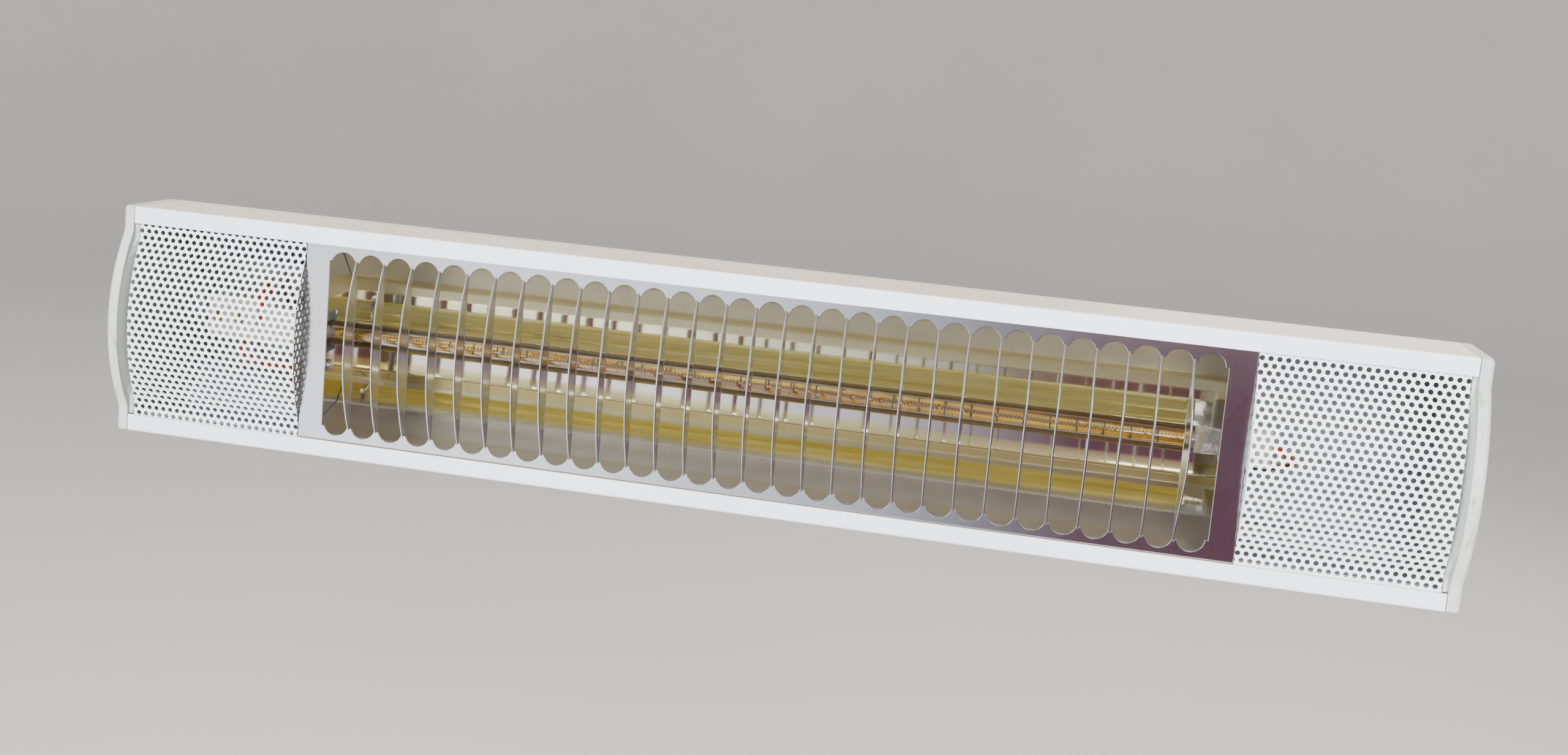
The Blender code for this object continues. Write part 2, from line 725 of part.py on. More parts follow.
def build_pinch(name, side, parent, mat):
    """The tube's end, pressed flat around the lead foil."""
    rings = []
    count = 16
    stations = (
        (GAP, TUBE_R, TUBE_R),
        (PINCH_NECK, PINCH_NECK_Y, TUBE_R),
        (PINCH_LEN, PINCH_END_Y, TUBE_R * 0.95),
    )
    for along, half_y, half_z in stations:
        ring = []
        for i in range(count):
            angle = 2 * math.pi * (i + 0.5) / count
            y = LAMP_Y + half_y * math.cos(angle)
            ring.append(Vector((tube_end(side) + side * along, y, half_z * math.sin(angle))))
        rings.append(ring)
    return smooth(make_object(name, loft(rings), mat, parent))


def build_base(name, start, side, parent, mat):
    end = start + side * BASE_LEN
    x0, x1 = sorted((start, end))
    bm = box(x0, x1, LAMP_Y - BASE_HALF_Y, LAMP_Y + BASE_HALF_Y, -BASE_HALF_Z, BASE_HALF_Z)
    bmesh.ops.bevel(bm, geom=list(bm.edges), offset=BASE_EDGE, segments=2, profile=0.5, affect="EDGES")
    obj = make_object(name, bm, mat, parent)
    cut(obj, rod("X", end - side * LEAD_SOCKET, end + side * EMBED, (LAMP_Y, 0.0), LEAD_R + GAP, 8))
    return smooth(obj)


def base_end(side):
    return tube_end(side) + side * (PINCH_LEN + 2 * GAP + BASE_LEN)


def build_lamp_bracket(side, parent, mats):
    """Steel angle that carries a lamp base, riveted to the reflector end."""
    word = "left" if side < 0 else "right"
    near = REFLECTOR_HALF + 2 * GAP + REFLECTOR_T
    far = near + 0.0140
    shelf = -(BASE_HALF_Z + GAP)
    under = shelf - REFLECTOR_T
    foot = shelf - 0.0125
    outline = [(near, foot), (near + REFLECTOR_T, foot), (near + REFLECTOR_T, under)]
    outline += [(far, under), (far, shelf), (near, shelf)]
    outline = [(side * x, z) for x, z in outline]
    half = BASE_HALF_Y + EMBED
    obj = make_object("lamp_bracket_" + word, prism(outline, "Y", LAMP_Y - half, LAMP_Y + half),
                      mats["zinc"], parent)
    cut(obj, rod("X", side * (near - EMBED), side * (near + 3 * EMBED), rivet_centre(), RIVET_HOLE, 10))
    build_rivet("bracket_rivet_" + word, side, near + REFLECTOR_T + GAP, parent, mats["aluminium"])
    return obj


def build_rivet(name, side, tail, parent, mat):
    """Blind rivet: its head is inside the trough, its tail behind the angle."""
    head = REFLECTOR_HALF - 0.0014
    under = REFLECTOR_HALF + GAP / 2
    profile = (
        (head, RIVET_HEAD_R * 0.66),
        (under - GAP, RIVET_HEAD_R),
        (under, RIVET_HEAD_R),
        (under, RIVET_R),
        (tail, RIVET_R),
        (tail, RIVET_TAIL_R),
        (tail + 0.0010, RIVET_TAIL_R * 0.7),
    )
    profile = [(side * x, radius) for x, radius in profile]
    return smooth(make_object(name, turned("X", rivet_centre(), profile, 12), mat, parent))


# ======================================================================
# Wiring
# ======================================================================
def build_terminal_plate(parent, mat):
    y0 = depth_y(PLATE_DEPTH)
    y1 = y0 + PLATE_T
    x0 = BLOCK_X - PLATE_HALF
    x1 = BLOCK_X + PLATE_HALF
    plate = make_object("terminal_plate", box(x0, x1, y0, y1, -PLATE_HALF, PLATE_HALF), mat, parent)
    for start in (x0, x1 - PLATE_T):
        join(plate, box(start, start + PLATE_T, y0 + PLATE_T / 2, y0 + PLATE_HEM, -PLATE_HALF, PLATE_HALF))
    return plate


def block_x(pole):
    """Middle of one of the three poles: -1, 0 or 1."""
    return BLOCK_X + pole * BLOCK_PITCH


def build_terminals(parent, mats):
    """Three-pole ceramic block on a folded plate inside the left end."""
    build_terminal_plate(parent, mats["zinc"])
    rear = -BLOCK_FRONT
    front = rear - BLOCK_H
    half = 1.5 * BLOCK_PITCH
    block = box(BLOCK_X - half, BLOCK_X + half, front, rear, -BLOCK_HALF_Z, BLOCK_HALF_Z)
    bmesh.ops.bevel(block, geom=list(block.edges), offset=BASE_EDGE, segments=1, affect="EDGES")
    obj = make_object("terminal_block", block, mats["ceramic"], parent)
    well = front + 0.0060
    for pole in (-1, 0, 1):
        x = block_x(pole)
        wire = (x, rear - BLOCK_ENTRY)
        cut(obj, rod("Z", -BLOCK_HALF_Z - EMBED, BLOCK_HALF_Z + EMBED, wire, BLOCK_WIRE_R, 10))
        cut(obj, rod("Y", front - EMBED, well, (x, 0.0), BLOCK_SCREW_R + TONGUE_PLAY, 12))
        screw = rod("Y", front + GAP, well - EMBED, (x, 0.0), BLOCK_SCREW_R, 12)
        screw = make_object("terminal_screw_%d" % (pole + 2), screw, mats["brass"], parent)
        cut(screw, box(x - 0.0004, x + 0.0004, front, front + EMBED, -0.004, 0.004))
        smooth(screw)
    return smooth(obj)


def lead_curve(name, points, parent, mat):
    """A sheathed lead as a tube along a smooth curve through its points."""
    curve = bpy.data.curves.new(name, "CURVE")
    curve.dimensions = "3D"
    spline = curve.splines.new("POLY")
    path = catmull(points, 3)
    spline.points.add(len(path) - 1)
    for slot, point in zip(spline.points, path):
        slot.co = (*point, 1.0)
    curve.bevel_depth = LEAD_R
    curve.bevel_resolution = 1
    curve.use_fill_caps = True
    obj = bpy.data.objects.new(name, curve)
    bpy.context.scene.collection.objects.link(obj)
    obj.parent = parent
    curve.materials.append(mat)
    return obj


def catmull(points, steps):
    points = [Vector(p) for p in points]
    ends = [points[0] * 2 - points[1]] + points + [points[-1] * 2 - points[-2]]
    path = []
    for i in range(1, len(ends) - 2):
        a, b, c, d = ends[i - 1:i + 3]
        for k in range(steps):
            t = k / steps
            path.append(0.5 * (2 * b + (c - a) * t + (2 * a - 5 * b + 4 * c - d) * t * t
                               + (3 * b - a - 3 * c + d) * t ** 3))
    path.append(points[-1])
    return path


def build_leads(parent, mat):
    """Leads from the lamp's two bases to the terminal block."""
    entry_y = -BLOCK_FRONT - BLOCK_ENTRY
    top = BLOCK_HALF_Z + GAP
    left = base_end(-1)
    first = block_x(1)
    lead_curve("lamp_lead_left", [
        (left + 0.0037, LAMP_Y, 0.0),
        (left - 0.0023, LAMP_Y, 0.0010),
        (left - 0.0048, LAMP_Y + 0.0030, 0.0120),
        (first, entry_y - 0.0010, top + 0.0097),
        (first, entry_y, top),
    ], parent, mat)
    right = base_end(1)
    run = depth_y(0.0560), -0.0160
    lead_curve("lamp_lead_right", [
        (right - 0.0040, LAMP_Y, 0.0),
        (right + 0.0010, LAMP_Y, 0.0),
        (right + 0.0060, LAMP_Y + 0.0020, -0.0020),
        (right + 0.0100, LAMP_Y + 0.0130, -0.0100),
        (REFLECTOR_HALF - 0.0020, *run),
        (REFLECTOR_HALF * 0.5, *run),
        (0.0, *run),
        (-REFLECTOR_HALF * 0.5, *run),
        (-REFLECTOR_HALF + 0.0100, *run),
        (-REFLECTOR_HALF - 0.0110, depth_y(0.0480), -0.0200),
        (BLOCK_X + 0.0285, entry_y + 0.0010, -0.0230),
        (BLOCK_X, entry_y, -0.0200),
        (BLOCK_X, entry_y, -top),
    ], parent, mat)


def build_gland_body(centre, parent, mat):
    """Threaded sleeve through the housing's back, with a hexagon outside."""
    y0 = BACK_Y + GAP
    inner = BACK_Y - WALL - GLAND_IN
    body = make_object("gland_body", rod("Y", inner, y0 + GLAND_OUT, centre, GLAND_R, 20), mat, parent)
    join(body, rod("Y", y0, y0 + GLAND_HEX_H, centre, GLAND_HEX_R, 6))
    cut(body, rod("Y", inner - EMBED, y0 + GLAND_OUT + EMBED, centre, GLAND_SEAT, 20))
    return smooth(body)


def build_gland(parent, mats):
    """Cable gland through the housing's back; the cable is not fitted."""
    centre = (GLAND_X, GLAND_Z)
    plastic = mats["polyamide"]
    build_gland_body(centre, parent, plastic)
    lock_end = BACK_Y - WALL - GAP
    lock = rod("Y", lock_end - GLAND_LOCK_H, lock_end, centre, GLAND_HEX_R, 6, math.pi / 6)
    locknut = make_object("gland_locknut", lock, plastic, parent)
    cut(locknut, rod("Y", lock_end - 2 * GLAND_LOCK_H, BACK_Y, centre, GLAND_R + GAP, 20))
    start = BACK_Y + GAP + GLAND_HEX_H + GAP
    shoulder = start + GLAND_NUT_H
    nose = shoulder + GLAND_NOSE_H
    profile = ((start, GLAND_NUT_R), (shoulder, GLAND_NUT_R), (nose, GLAND_NOSE_R))
    nut = make_object("gland_nut", turned("Y", centre, profile, 12), plastic, parent)
    thread_end = BACK_Y + 2 * GAP + GLAND_OUT
    cut(nut, rod("Y", start - EMBED, thread_end, centre, GLAND_R + GAP, 20))
    cut(nut, rod("Y", start, nose + EMBED, centre, GLAND_BORE, 16))
    smooth(nut)
    ring = tube("Y", centre, BACK_Y + 0.0015, BACK_Y + GLAND_OUT, GLAND_SEAT - GAP,
                GLAND_BORE - SEAL_SQUEEZE, 16)
    return smooth(make_object("gland_seal", ring, mats["rubber"], parent))


# ======================================================================
# Bracket
# ======================================================================
def build_yoke(parent, mats):
    """U-shaped yoke bolted to the T-slot; its arms carry the tilt axis."""
    y0 = BACK_Y + GAP
    y1 = y0 + STEEL
    obj = make_object("tilt_yoke", box(-YOKE_HALF, YOKE_HALF, y0, y1, -YOKE_HALF_Z, YOKE_HALF_Z),
                      mats["bracket_paint"], parent)
    arm = [(y0, YOKE_HALF_Z), (y0, -YOKE_HALF_Z)] + arc((0.0, 0.0), ARM_R, -75, 75, 8)
    for side in (-1, 1):
        outer = side * YOKE_HALF
        inner = side * (YOKE_HALF - STEEL)
        through = (inner - side * EMBED, outer + side * EMBED)
        join(obj, prism(arm, "X", inner, outer))
        cut(obj, rod("X", *through, (0.0, 0.0), M6_HOLE, 16))
        cut(obj, rod("X", *through, (-LOCK_R, 0.0), LOCK_SHANK + GAP, 12))
        cut(obj, rod("Y", y0 - EMBED, y1 + EMBED, (side * YOKE_BOLT_X, 0.0), M6_HOLE, 12))
    return smooth(obj)


def build_yoke_bolts(parent, mats):
    """Bolts whose heads slide in the T-slot, and their nuts."""
    head = BACK_Y - T_LIP - GAP
    head_h = T_HEAD - 2 * GAP - T_PLAY
    seat = BACK_Y + GAP + STEEL + GAP
    end = seat + NUT_H
    for side, word in ((-1, "left"), (1, "right")):
        centre = (side * YOKE_BOLT_X, 0.0)
        bolt = make_object("slot_bolt_" + word, rod("Y", head - head_h, head, centre, HEX_R, 6),
                           mats["zinc"], parent)
        join(bolt, rod("Y", head - EMBED, end + THREAD_OUT, centre, M6_R, 12))
        smooth(bolt)
        nut = make_object("slot_nut_" + word, rod("Y", seat, end, centre, HEX_R, 6), mats["zinc"], parent)
        cut(nut, rod("Y", seat - EMBED, end + EMBED, centre, M6_R + GAP, 12))
        smooth(nut)


def lock_slot_outline():
    """Curved slot for the lock screw, round the tilt axis."""
    start = 180 - TILT_UP - TILT_SPARE
    end = 180 + TILT_DOWN + TILT_SPARE
    outline = arc((0.0, 0.0), LOCK_R + LOCK_SLOT_HALF, start, end, 12)
    outline += arc(polar(LOCK_R, end), LOCK_SLOT_HALF, end, end + 180, 6)[1:-1]
    outline += arc((0.0, 0.0), LOCK_R - LOCK_SLOT_HALF, end, start, 12)
    outline += arc(polar(LOCK_R, start), LOCK_SLOT_HALF, start + 180, start + 360, 6)[1:-1]
    return outline


def build_wall_bracket(mats):
    """Wall plate with two ears; modelled about the tilt axis like the yoke."""
    front = PIVOT_WALL - STEEL
    obj = make_object("wall_bracket", box(-EAR_OUT, EAR_OUT, front, PIVOT_WALL, -WALL_HALF_Z, WALL_HALF_Z),
                      mats["bracket_paint"], None, (0.0, -PIVOT_WALL, 0.0))
    foot = front + STEEL / 2
    ear = [(foot, EAR_INSET - WALL_HALF_Z), (foot, WALL_HALF_Z - EAR_INSET)]
    ear += arc((0.0, 0.0), EAR_R, 62, 298, 20)
    for side in (-1, 1):
        through = (side * (EAR_IN - EMBED), side * (EAR_OUT + EMBED))
        join(obj, prism(ear, "X", side * EAR_IN, side * EAR_OUT))
        cut(obj, rod("X", *through, (0.0, 0.0), M6_HOLE, 16))
        cut(obj, prism(lock_slot_outline(), "X", *through))
        x = side * WALL_SCREW_X
        slot = arc((x, WALL_SCREW_HALF), WALL_SCREW_R, 0, 180, 6)
        slot += arc((x, -WALL_SCREW_HALF), WALL_SCREW_R, 180, 360, 6)
        cut(obj, prism(slot, "Y", front - EMBED, PIVOT_WALL + EMBED))
    return smooth(obj)


def build_pivots(mats):
    """Pivot bolts, nuts and friction washers, all centred on the tilt axis."""
    axis = (0.0, 0.0)
    place = (0.0, -PIVOT_WALL, 0.0)
    head = EAR_OUT + GAP
    nut_end = YOKE_HALF - STEEL - GAP
    tip = nut_end - NUT_H - THREAD_OUT
    for side, word in ((-1, "left"), (1, "right")):
        hexagon = rod("X", side * head, side * (head + HEAD_H), axis, HEX_R, 6)
        bolt = make_object("pivot_bolt_" + word, hexagon, mats["zinc"], None, place)
        join(bolt, rod("X", side * tip, side * (head + EMBED), axis, M6_R, 12))
        smooth(bolt)
        hexagon = rod("X", side * (nut_end - NUT_H), side * nut_end, axis, HEX_R, 6)
        nut = make_object("pivot_nut_" + word, hexagon, mats["zinc"], None, place)
        cut(nut, rod("X", side * (tip - EMBED), side * (nut_end + EMBED), axis, M6_R + GAP, 12))
        smooth(nut)
        washer = tube("X", axis, side * (YOKE_HALF + GAP), side * (EAR_IN - GAP), WASHER_R, M6_HOLE, 20)
        smooth(make_object("friction_washer_" + word, washer, mats["polyamide"], None, place))


def build_knob(side, parent, mats):
    """Five-lobed clamping knob on a stud that rides in the curved slot."""
    word = "left" if side < 0 else "right"
    start = EAR_OUT + GAP
    collar = 0.0030
    count = 6 * KNOB_LOBES
    stations = ((0.0, 0.72), (collar, 0.74), (1.2 * collar, 1.0), (0.9 * KNOB_H, 1.0), (KNOB_H, 0.86))
    rings = []
    for along, scale in stations:
        ring = []
        for i in range(count):
            angle = 2 * math.pi * i / count
            radius = KNOB_R * scale * (1 - KNOB_LOBE + KNOB_LOBE * math.cos(KNOB_LOBES * angle))
            ring.append(Vector((side * (start + along), radius * math.cos(angle), radius * math.sin(angle))))
        rings.append(ring)
    knob = make_object("lock_knob_" + word, loft(rings), mats["knob"], parent, (0.0, -LOCK_R, 0.0))
    tip = YOKE_HALF - STEEL - STUD_OUT
    join(knob, rod("X", side * tip, side * (start + collar / 2), (0.0, 0.0), LOCK_SHANK, 12))
    return smooth(knob)


# ======================================================================
def build_materials():
    return {
        "white_paint": material("white_paint", (0.80, 0.81, 0.83), 0.38, 0.0),
        "cap_paint": material("cap_paint", (0.74, 0.76, 0.75), 0.48, 0.0),
        "grille_paint": material("grille_paint", (0.80, 0.82, 0.85), 0.40, 0.0),
        "satin_aluminium": material("satin_aluminium", (0.62, 0.64, 0.69), 0.32, 1.0),
        "mirror_aluminium": material("mirror_aluminium", (0.86, 0.85, 0.82), 0.08, 1.0),
        "gold_quartz": material("gold_quartz", (0.80, 0.50, 0.14), 0.12, 0.85, 0.9),
        "clear_quartz": material("clear_quartz", (0.92, 0.92, 0.90), 0.05, 0.0, 0.5),
        "tungsten": material("tungsten", (0.42, 0.40, 0.38), 0.35, 1.0),
        "ceramic": material("ceramic", (0.86, 0.84, 0.78), 0.55, 0.0),
        "zinc": material("zinc", (0.60, 0.61, 0.62), 0.35, 1.0),
        "brass": material("brass", (0.72, 0.55, 0.26), 0.30, 1.0),
        "aluminium": material("aluminium", (0.75, 0.75, 0.76), 0.35, 1.0),
        "lead_sheath": material("lead_sheath", (0.62, 0.16, 0.07), 0.55, 0.0),
        "polyamide": material("polyamide", (0.10, 0.10, 0.11), 0.50, 0.0),
        "rubber": material("rubber", (0.05, 0.05, 0.05), 0.80, 0.0),
        "bracket_paint": material("bracket_paint", (0.72, 0.73, 0.74), 0.45, 0.0),
        "knob": material("knob", (0.07, 0.07, 0.08), 0.45, 0.0),
    }


def main():
    clear_scene()
    mats = build_materials()
    tilt = bpy.data.objects.new("tilt_axis", None)
    bpy.context.scene.collection.objects.link(tilt)
    tilt.location = (0.0, -PIVOT_WALL, 0.0)
    bpy.context.view_layer.update()

    build_housing(tilt, mats["white_paint"])
    build_cap("end_cap_left", -1, tilt, mats["cap_paint"])
    build_cap("end_cap_right", 1, tilt, mats["cap_paint"])
    build_cap_screws(tilt, mats["zinc"])
    build_guard(tilt, mats["satin_aluminium"])
    build_grille("side_grille_left", -1, tilt, mats["grille_paint"])
    build_grille("side_grille_right", 1, tilt, mats["grille_paint"])
    build_reflector(tilt, mats["mirror_aluminium"])
    build_reflector_end("reflector_end_left", -1, tilt, mats["mirror_aluminium"])
    build_reflector_end("reflector_end_right", 1, tilt, mats["mirror_aluminium"])
    build_lamp(tilt, mats)
    build_lamp_bracket(-1, tilt, mats)
    build_lamp_bracket(1, tilt, mats)
    build_terminals(tilt, mats)
    build_leads(tilt, mats["lead_sheath"])
    build_gland(tilt, mats)
    build_yoke(tilt, mats)
    build_yoke_bolts(tilt, mats)
    build_knob(-1, tilt, mats)
    build_knob(1, tilt, mats)
    build_wall_bracket(mats)
    build_pivots(mats)


main()
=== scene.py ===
"""Looks for the wall-mounted infrared heater: finer visible pieces, procedural
materials, soft studio light and the camera. Units are metres and +Z is up."""

import math

import bmesh
import bpy
from mathutils import Matrix, Vector


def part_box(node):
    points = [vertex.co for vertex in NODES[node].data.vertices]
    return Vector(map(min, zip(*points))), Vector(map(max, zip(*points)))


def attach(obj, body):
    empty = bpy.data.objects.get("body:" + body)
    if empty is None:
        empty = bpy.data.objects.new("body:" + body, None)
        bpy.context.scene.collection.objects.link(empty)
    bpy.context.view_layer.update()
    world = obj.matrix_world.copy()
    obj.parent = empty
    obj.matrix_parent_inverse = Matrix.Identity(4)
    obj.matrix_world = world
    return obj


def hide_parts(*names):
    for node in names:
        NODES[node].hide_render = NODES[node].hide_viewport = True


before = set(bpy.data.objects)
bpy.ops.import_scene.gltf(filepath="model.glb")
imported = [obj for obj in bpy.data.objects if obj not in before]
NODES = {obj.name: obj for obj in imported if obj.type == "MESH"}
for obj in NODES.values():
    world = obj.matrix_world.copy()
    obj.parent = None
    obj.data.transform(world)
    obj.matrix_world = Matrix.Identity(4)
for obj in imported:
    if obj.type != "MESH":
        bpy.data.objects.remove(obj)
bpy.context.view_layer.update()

# ======================================================================
# Sizes, from the frame or the same as the CAD part's
# ======================================================================
HOUSING_LOW, HOUSING_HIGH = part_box("housing_extrusion")
HALF_Z = (HOUSING_HIGH.z - HOUSING_LOW.z) / 2
RAIL_PROUD = 0.0015
FRONT = HOUSING_LOW.y + RAIL_PROUD      # the guard's front face
DEPTH = HOUSING_HIGH.y - FRONT
RAIL_W = 0.0079
OPENING_HALF = HALF_Z - RAIL_W

GUARD_LOW, GUARD_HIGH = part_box("front_guard")
GUARD_HALF = (GUARD_HIGH.x - GUARD_LOW.x) / 2
SHEET_HALF_Z = (GUARD_HIGH.z - GUARD_LOW.z) / 2
SHEET = 0.0010
SHEET_EDGE = 0.00022      # rounding of the guard's cut edges
SLOT_COUNT = 30
SLOT_PITCH = 0.0132
SLOT_END_R = 0.0057
SLOT_APEX = 0.0423
SLOT_CENTRE_Z = SLOT_APEX - SLOT_END_R
END_SLOT_OUT = 0.0071
NOTCH_UP = 0.0016
RIB_T = 0.0009
RIB_EDGE = 0.00028
RIB_BOW = 0.0090
RIB_BACK_BOW = 0.0014
RIB_ROOT = 0.0008         # how far a rib reaches past its notch
RIB_SWAY = 0.00035        # how far the ribs lean sideways
RIB_BENT = 0.0016         # and the last one, which is bent

GRILLE_SHEET = 0.0006
GRILLE_BULGE = 0.0080
GRILLE_CHORD = 0.0380
GRILLE_FILLET = 0.0100
HOLE_R = 0.00113
HOLE_PITCH = 0.0035
HOLE_ROW = HOLE_PITCH * math.sqrt(3) / 2
FLANGE_SHORT = 0.0006     # the flange ends this far behind the panel's face

TUBE_LOW, TUBE_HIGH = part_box("lamp_tube")
LAMP_Y = (TUBE_LOW.y + TUBE_HIGH.y) / 2
TUBE_R = (TUBE_HIGH.y - TUBE_LOW.y) / 2
TUBE_WALL = 0.0011
COIL_INSET = 0.0040       # from the tube's end
COIL_PITCH = 0.0016
COIL_R = 0.00085
COIL_WIRE_R = 0.00022
RING_COUNT = 33
RING_INSET = 0.0110       # first and last ring, from the coil's end
RING_R = 0.0042
RING_WIRE_R = 0.00035
RING_ARC = 290.0

# The reflector's bends as (depth, height below the opening's edge).
REFLECTOR_T = 0.0008
REFLECTOR_BEND_R = 0.0012
REFLECTOR_BENDS = (
    (0.0048, -0.0044), (0.0048, 0.0020), (0.0160, 0.0036), (0.0355, 0.0091),
    (0.0445, 0.0201), (0.0496, 0.0231), (0.0502, 0.0286), (0.0506, OPENING_HALF),
)

FLOOR_Z = -0.62
ROOM_R = 2.6


# ======================================================================
# Node helpers
# ======================================================================
class Paint:
    """A Principled material with its node tree at hand."""

    def __init__(self, name, **sockets):
        self.mat = bpy.data.materials.new(name)
        self.mat.use_nodes = True
        self.tree = self.mat.node_tree
        self.shader = self.tree.nodes["Principled BSDF"]
        self.coords = self.tree.nodes.new("ShaderNodeTexCoord")
        self.rounding = None
        for socket, value in sockets.items():
            self.shader.inputs[socket.replace("_", " ")].default_value = value

    def node(self, kind, **values):
        """A new node with its properties set."""
        made = self.tree.nodes.new(kind)
        for key, value in values.items():
            setattr(made, key, value)
        return made

    def link(self, source, target):
        self.tree.links.new(source, target)

    def stretched(self, scale):
        """Object coordinates, in metres, scaled along each axis."""
        made = self.node("ShaderNodeMapping")
        made.inputs["Scale"].default_value = scale
        self.link(self.coords.outputs["Object"], made.inputs["Vector"])
        return made.outputs["Vector"]

    def noise(self, scale, detail=3.0, rough=0.55, stretch=(1, 1, 1)):
        """Noise on the object's coordinates, from about 0.2 to 0.8."""
        made = self.node("ShaderNodeTexNoise")
        made.inputs["Scale"].default_value = scale
        made.inputs["Detail"].default_value = detail
        made.inputs["Roughness"].default_value = rough
        self.link(self.stretched(stretch), made.inputs["Vector"])
        return made.outputs["Fac"]

    def ramp(self, value, *stops):
        """Colours, or grey levels, by (place, colour) stops."""
        made = self.node("ShaderNodeValToRGB")
        self.link(value, made.inputs["Fac"])
        band = made.color_ramp
        while len(band.elements) < len(stops):
            band.elements.new(0.5)
        for element, (place, colour) in zip(band.elements, stops):
            element.position = place
            if not isinstance(colour, tuple):
                colour = (colour, colour, colour)
            element.color = (*colour, 1.0)
        return made.outputs["Color"]

    def blend(self, amount, first, second, kind="MIX"):
        """Mix two colours, each a socket or a constant."""
        made = self.node("ShaderNodeMix", data_type="RGBA", blend_type=kind)
        for socket, value in ((0, amount), (6, first), (7, second)):
            if isinstance(value, bpy.types.NodeSocket):
                self.link(value, made.inputs[socket])
            elif socket == 0:
                made.inputs[socket].default_value = value
            else:
                made.inputs[socket].default_value = (*value, 1.0)
        return made.outputs[2]

    def feed(self, made, *values):
        """Give a node's first inputs sockets or constants."""
        for socket, value in enumerate(values):
            if isinstance(value, bpy.types.NodeSocket):
                self.link(value, made.inputs[socket])
            else:
                made.inputs[socket].default_value = value

    def math(self, operation, *values):
        made = self.node("ShaderNodeMath", operation=operation)
        self.feed(made, *values)
        return made.outputs[0]

    def vector(self, operation, first, second):
        made = self.node("ShaderNodeVectorMath", operation=operation)
        self.feed(made, first, second)
        return made.outputs["Value" if operation == "DOT_PRODUCT" else "Vector"]

    def axis(self, source, name):
        """One axis of the object's coordinates or of its normals."""
        split = self.node("ShaderNodeSeparateXYZ")
        self.link(self.coords.outputs[source], split.inputs[0])
        return split.outputs[name]

    def glow(self, colour, strength):
        """Emission with a constant or a linked colour."""
        if isinstance(colour, bpy.types.NodeSocket):
            self.link(colour, self.shader.inputs["Emission Color"])
        else:
            self.shader.inputs["Emission Color"].default_value = (*colour, 1.0)
        self.shader.inputs["Emission Strength"].default_value = strength

    def colour(self, source):
        """Set the base colour."""
        self.link(source, self.shader.inputs["Base Color"])

    def roughness(self, value, low, high):
        """Let a noise carry the roughness from low to high."""
        self.link(self.ramp(value, (0.25, low), (0.75, high)), self.shader.inputs["Roughness"])

    def round_edges(self, radius):
        """Catch the light on sharp edges as if they had this radius."""
        made = self.node("ShaderNodeBevel", samples=4)
        made.inputs["Radius"].default_value = radius
        self.rounding = made.outputs["Normal"]

    def bump(self, *layers):
        """Stack (height, strength, distance) layers on the normal."""
        last = self.rounding
        for height, strength, distance in layers:
            made = self.node("ShaderNodeBump")
            made.inputs["Strength"].default_value = strength
            made.inputs["Distance"].default_value = distance
            self.link(height, made.inputs["Height"])
            if last is not None:
                self.link(last, made.inputs["Normal"])
            last = made.outputs["Normal"]
        self.link(last, self.shader.inputs["Normal"])


# ======================================================================
# Materials
# ======================================================================
def paint_housing():
    """White powder coat, with painted warm light on the faces that point up, and
    bare metal on the inside."""
    p = Paint("white_paint", Roughness=0.36)
    p.shader.inputs["Coat Weight"].default_value = 0.15
    p.shader.inputs["Coat Roughness"].default_value = 0.2
    base = p.ramp(p.noise(9.0, 3.0), (0.3, (0.74, 0.76, 0.80)), (0.7, (0.82, 0.84, 0.88)))
    # Painted warm light: faces that point up are tinted as if lit warm from above.
    painted_top_light = p.ramp(p.axis("Normal", "Z"), (0.55, 0.0), (0.95, 1.0))
    cloud = p.ramp(p.noise(30.0, 4.0, stretch=(0.2, 1, 1)), (0.3, 0.65), (0.7, 1.0))
    colour = p.blend(p.math("MULTIPLY", painted_top_light, cloud), base, (0.70, 0.58, 0.45))
    specks = p.ramp(p.noise(420.0, 2.0), (0.70, 0.0), (0.76, 1.0))
    colour = p.blend(p.math("MULTIPLY", specks, 0.35), colour, (0.45, 0.42, 0.38))
    outward = p.vector("SUBTRACT", p.coords.outputs["Object"], (0.0, FRONT + DEPTH / 2, 0.0))
    outward = p.vector("MULTIPLY", outward, (0.0, 1.0, 1.0))
    facing = p.vector("DOT_PRODUCT", outward, p.coords.outputs["Normal"])
    behind = p.math("GREATER_THAN", p.axis("Object", "Y"), FRONT + 0.0004)
    inside = p.math("MULTIPLY", p.math("LESS_THAN", facing, 0.0), behind)
    p.colour(p.blend(inside, colour, (0.27, 0.27, 0.28)))
    p.roughness(p.noise(60.0, 4.0), 0.30, 0.44)
    p.round_edges(0.0006)
    p.bump((p.noise(900.0, 2.0), 0.10, 0.0002), (p.noise(5.0, 2.0), 0.05, 0.002))
    return p.mat


def paint_cap():
    """Off-white moulded caps with scuffs and dirt. The left one's inner lip
    is darker, as it is in shade."""
    p = Paint("cap_paint", Roughness=0.48)
    base = p.ramp(p.noise(14.0, 4.0), (0.3, (0.40, 0.43, 0.41)), (0.7, (0.52, 0.54, 0.51)))
    scuff = p.ramp(p.noise(160.0, 5.0, 0.7, (1.0, 0.6, 0.25)), (0.60, 0.0), (0.68, 1.0))
    patch = p.ramp(p.noise(28.0, 2.0), (0.48, 0.0), (0.62, 1.0))
    marks = p.math("MULTIPLY", scuff, patch)
    dirty = p.blend(p.math("MULTIPLY", marks, 0.75), base, (0.22, 0.21, 0.17))
    right_facing_shade = p.ramp(p.axis("Normal", "X"), (0.4, 0.0), (0.7, 1.0))
    lip = p.math("MULTIPLY", right_facing_shade, p.math("LESS_THAN", p.axis("Object", "X"), 0.0))
    p.colour(p.blend(p.math("MULTIPLY", lip, 0.85), dirty, (0.13, 0.14, 0.13)))
    p.roughness(p.noise(90.0, 4.0), 0.40, 0.60)
    p.round_edges(0.0008)
    p.bump((p.noise(1400.0, 2.0), 0.12, 0.0002), (marks, 0.25, 0.0002))
    return p.mat


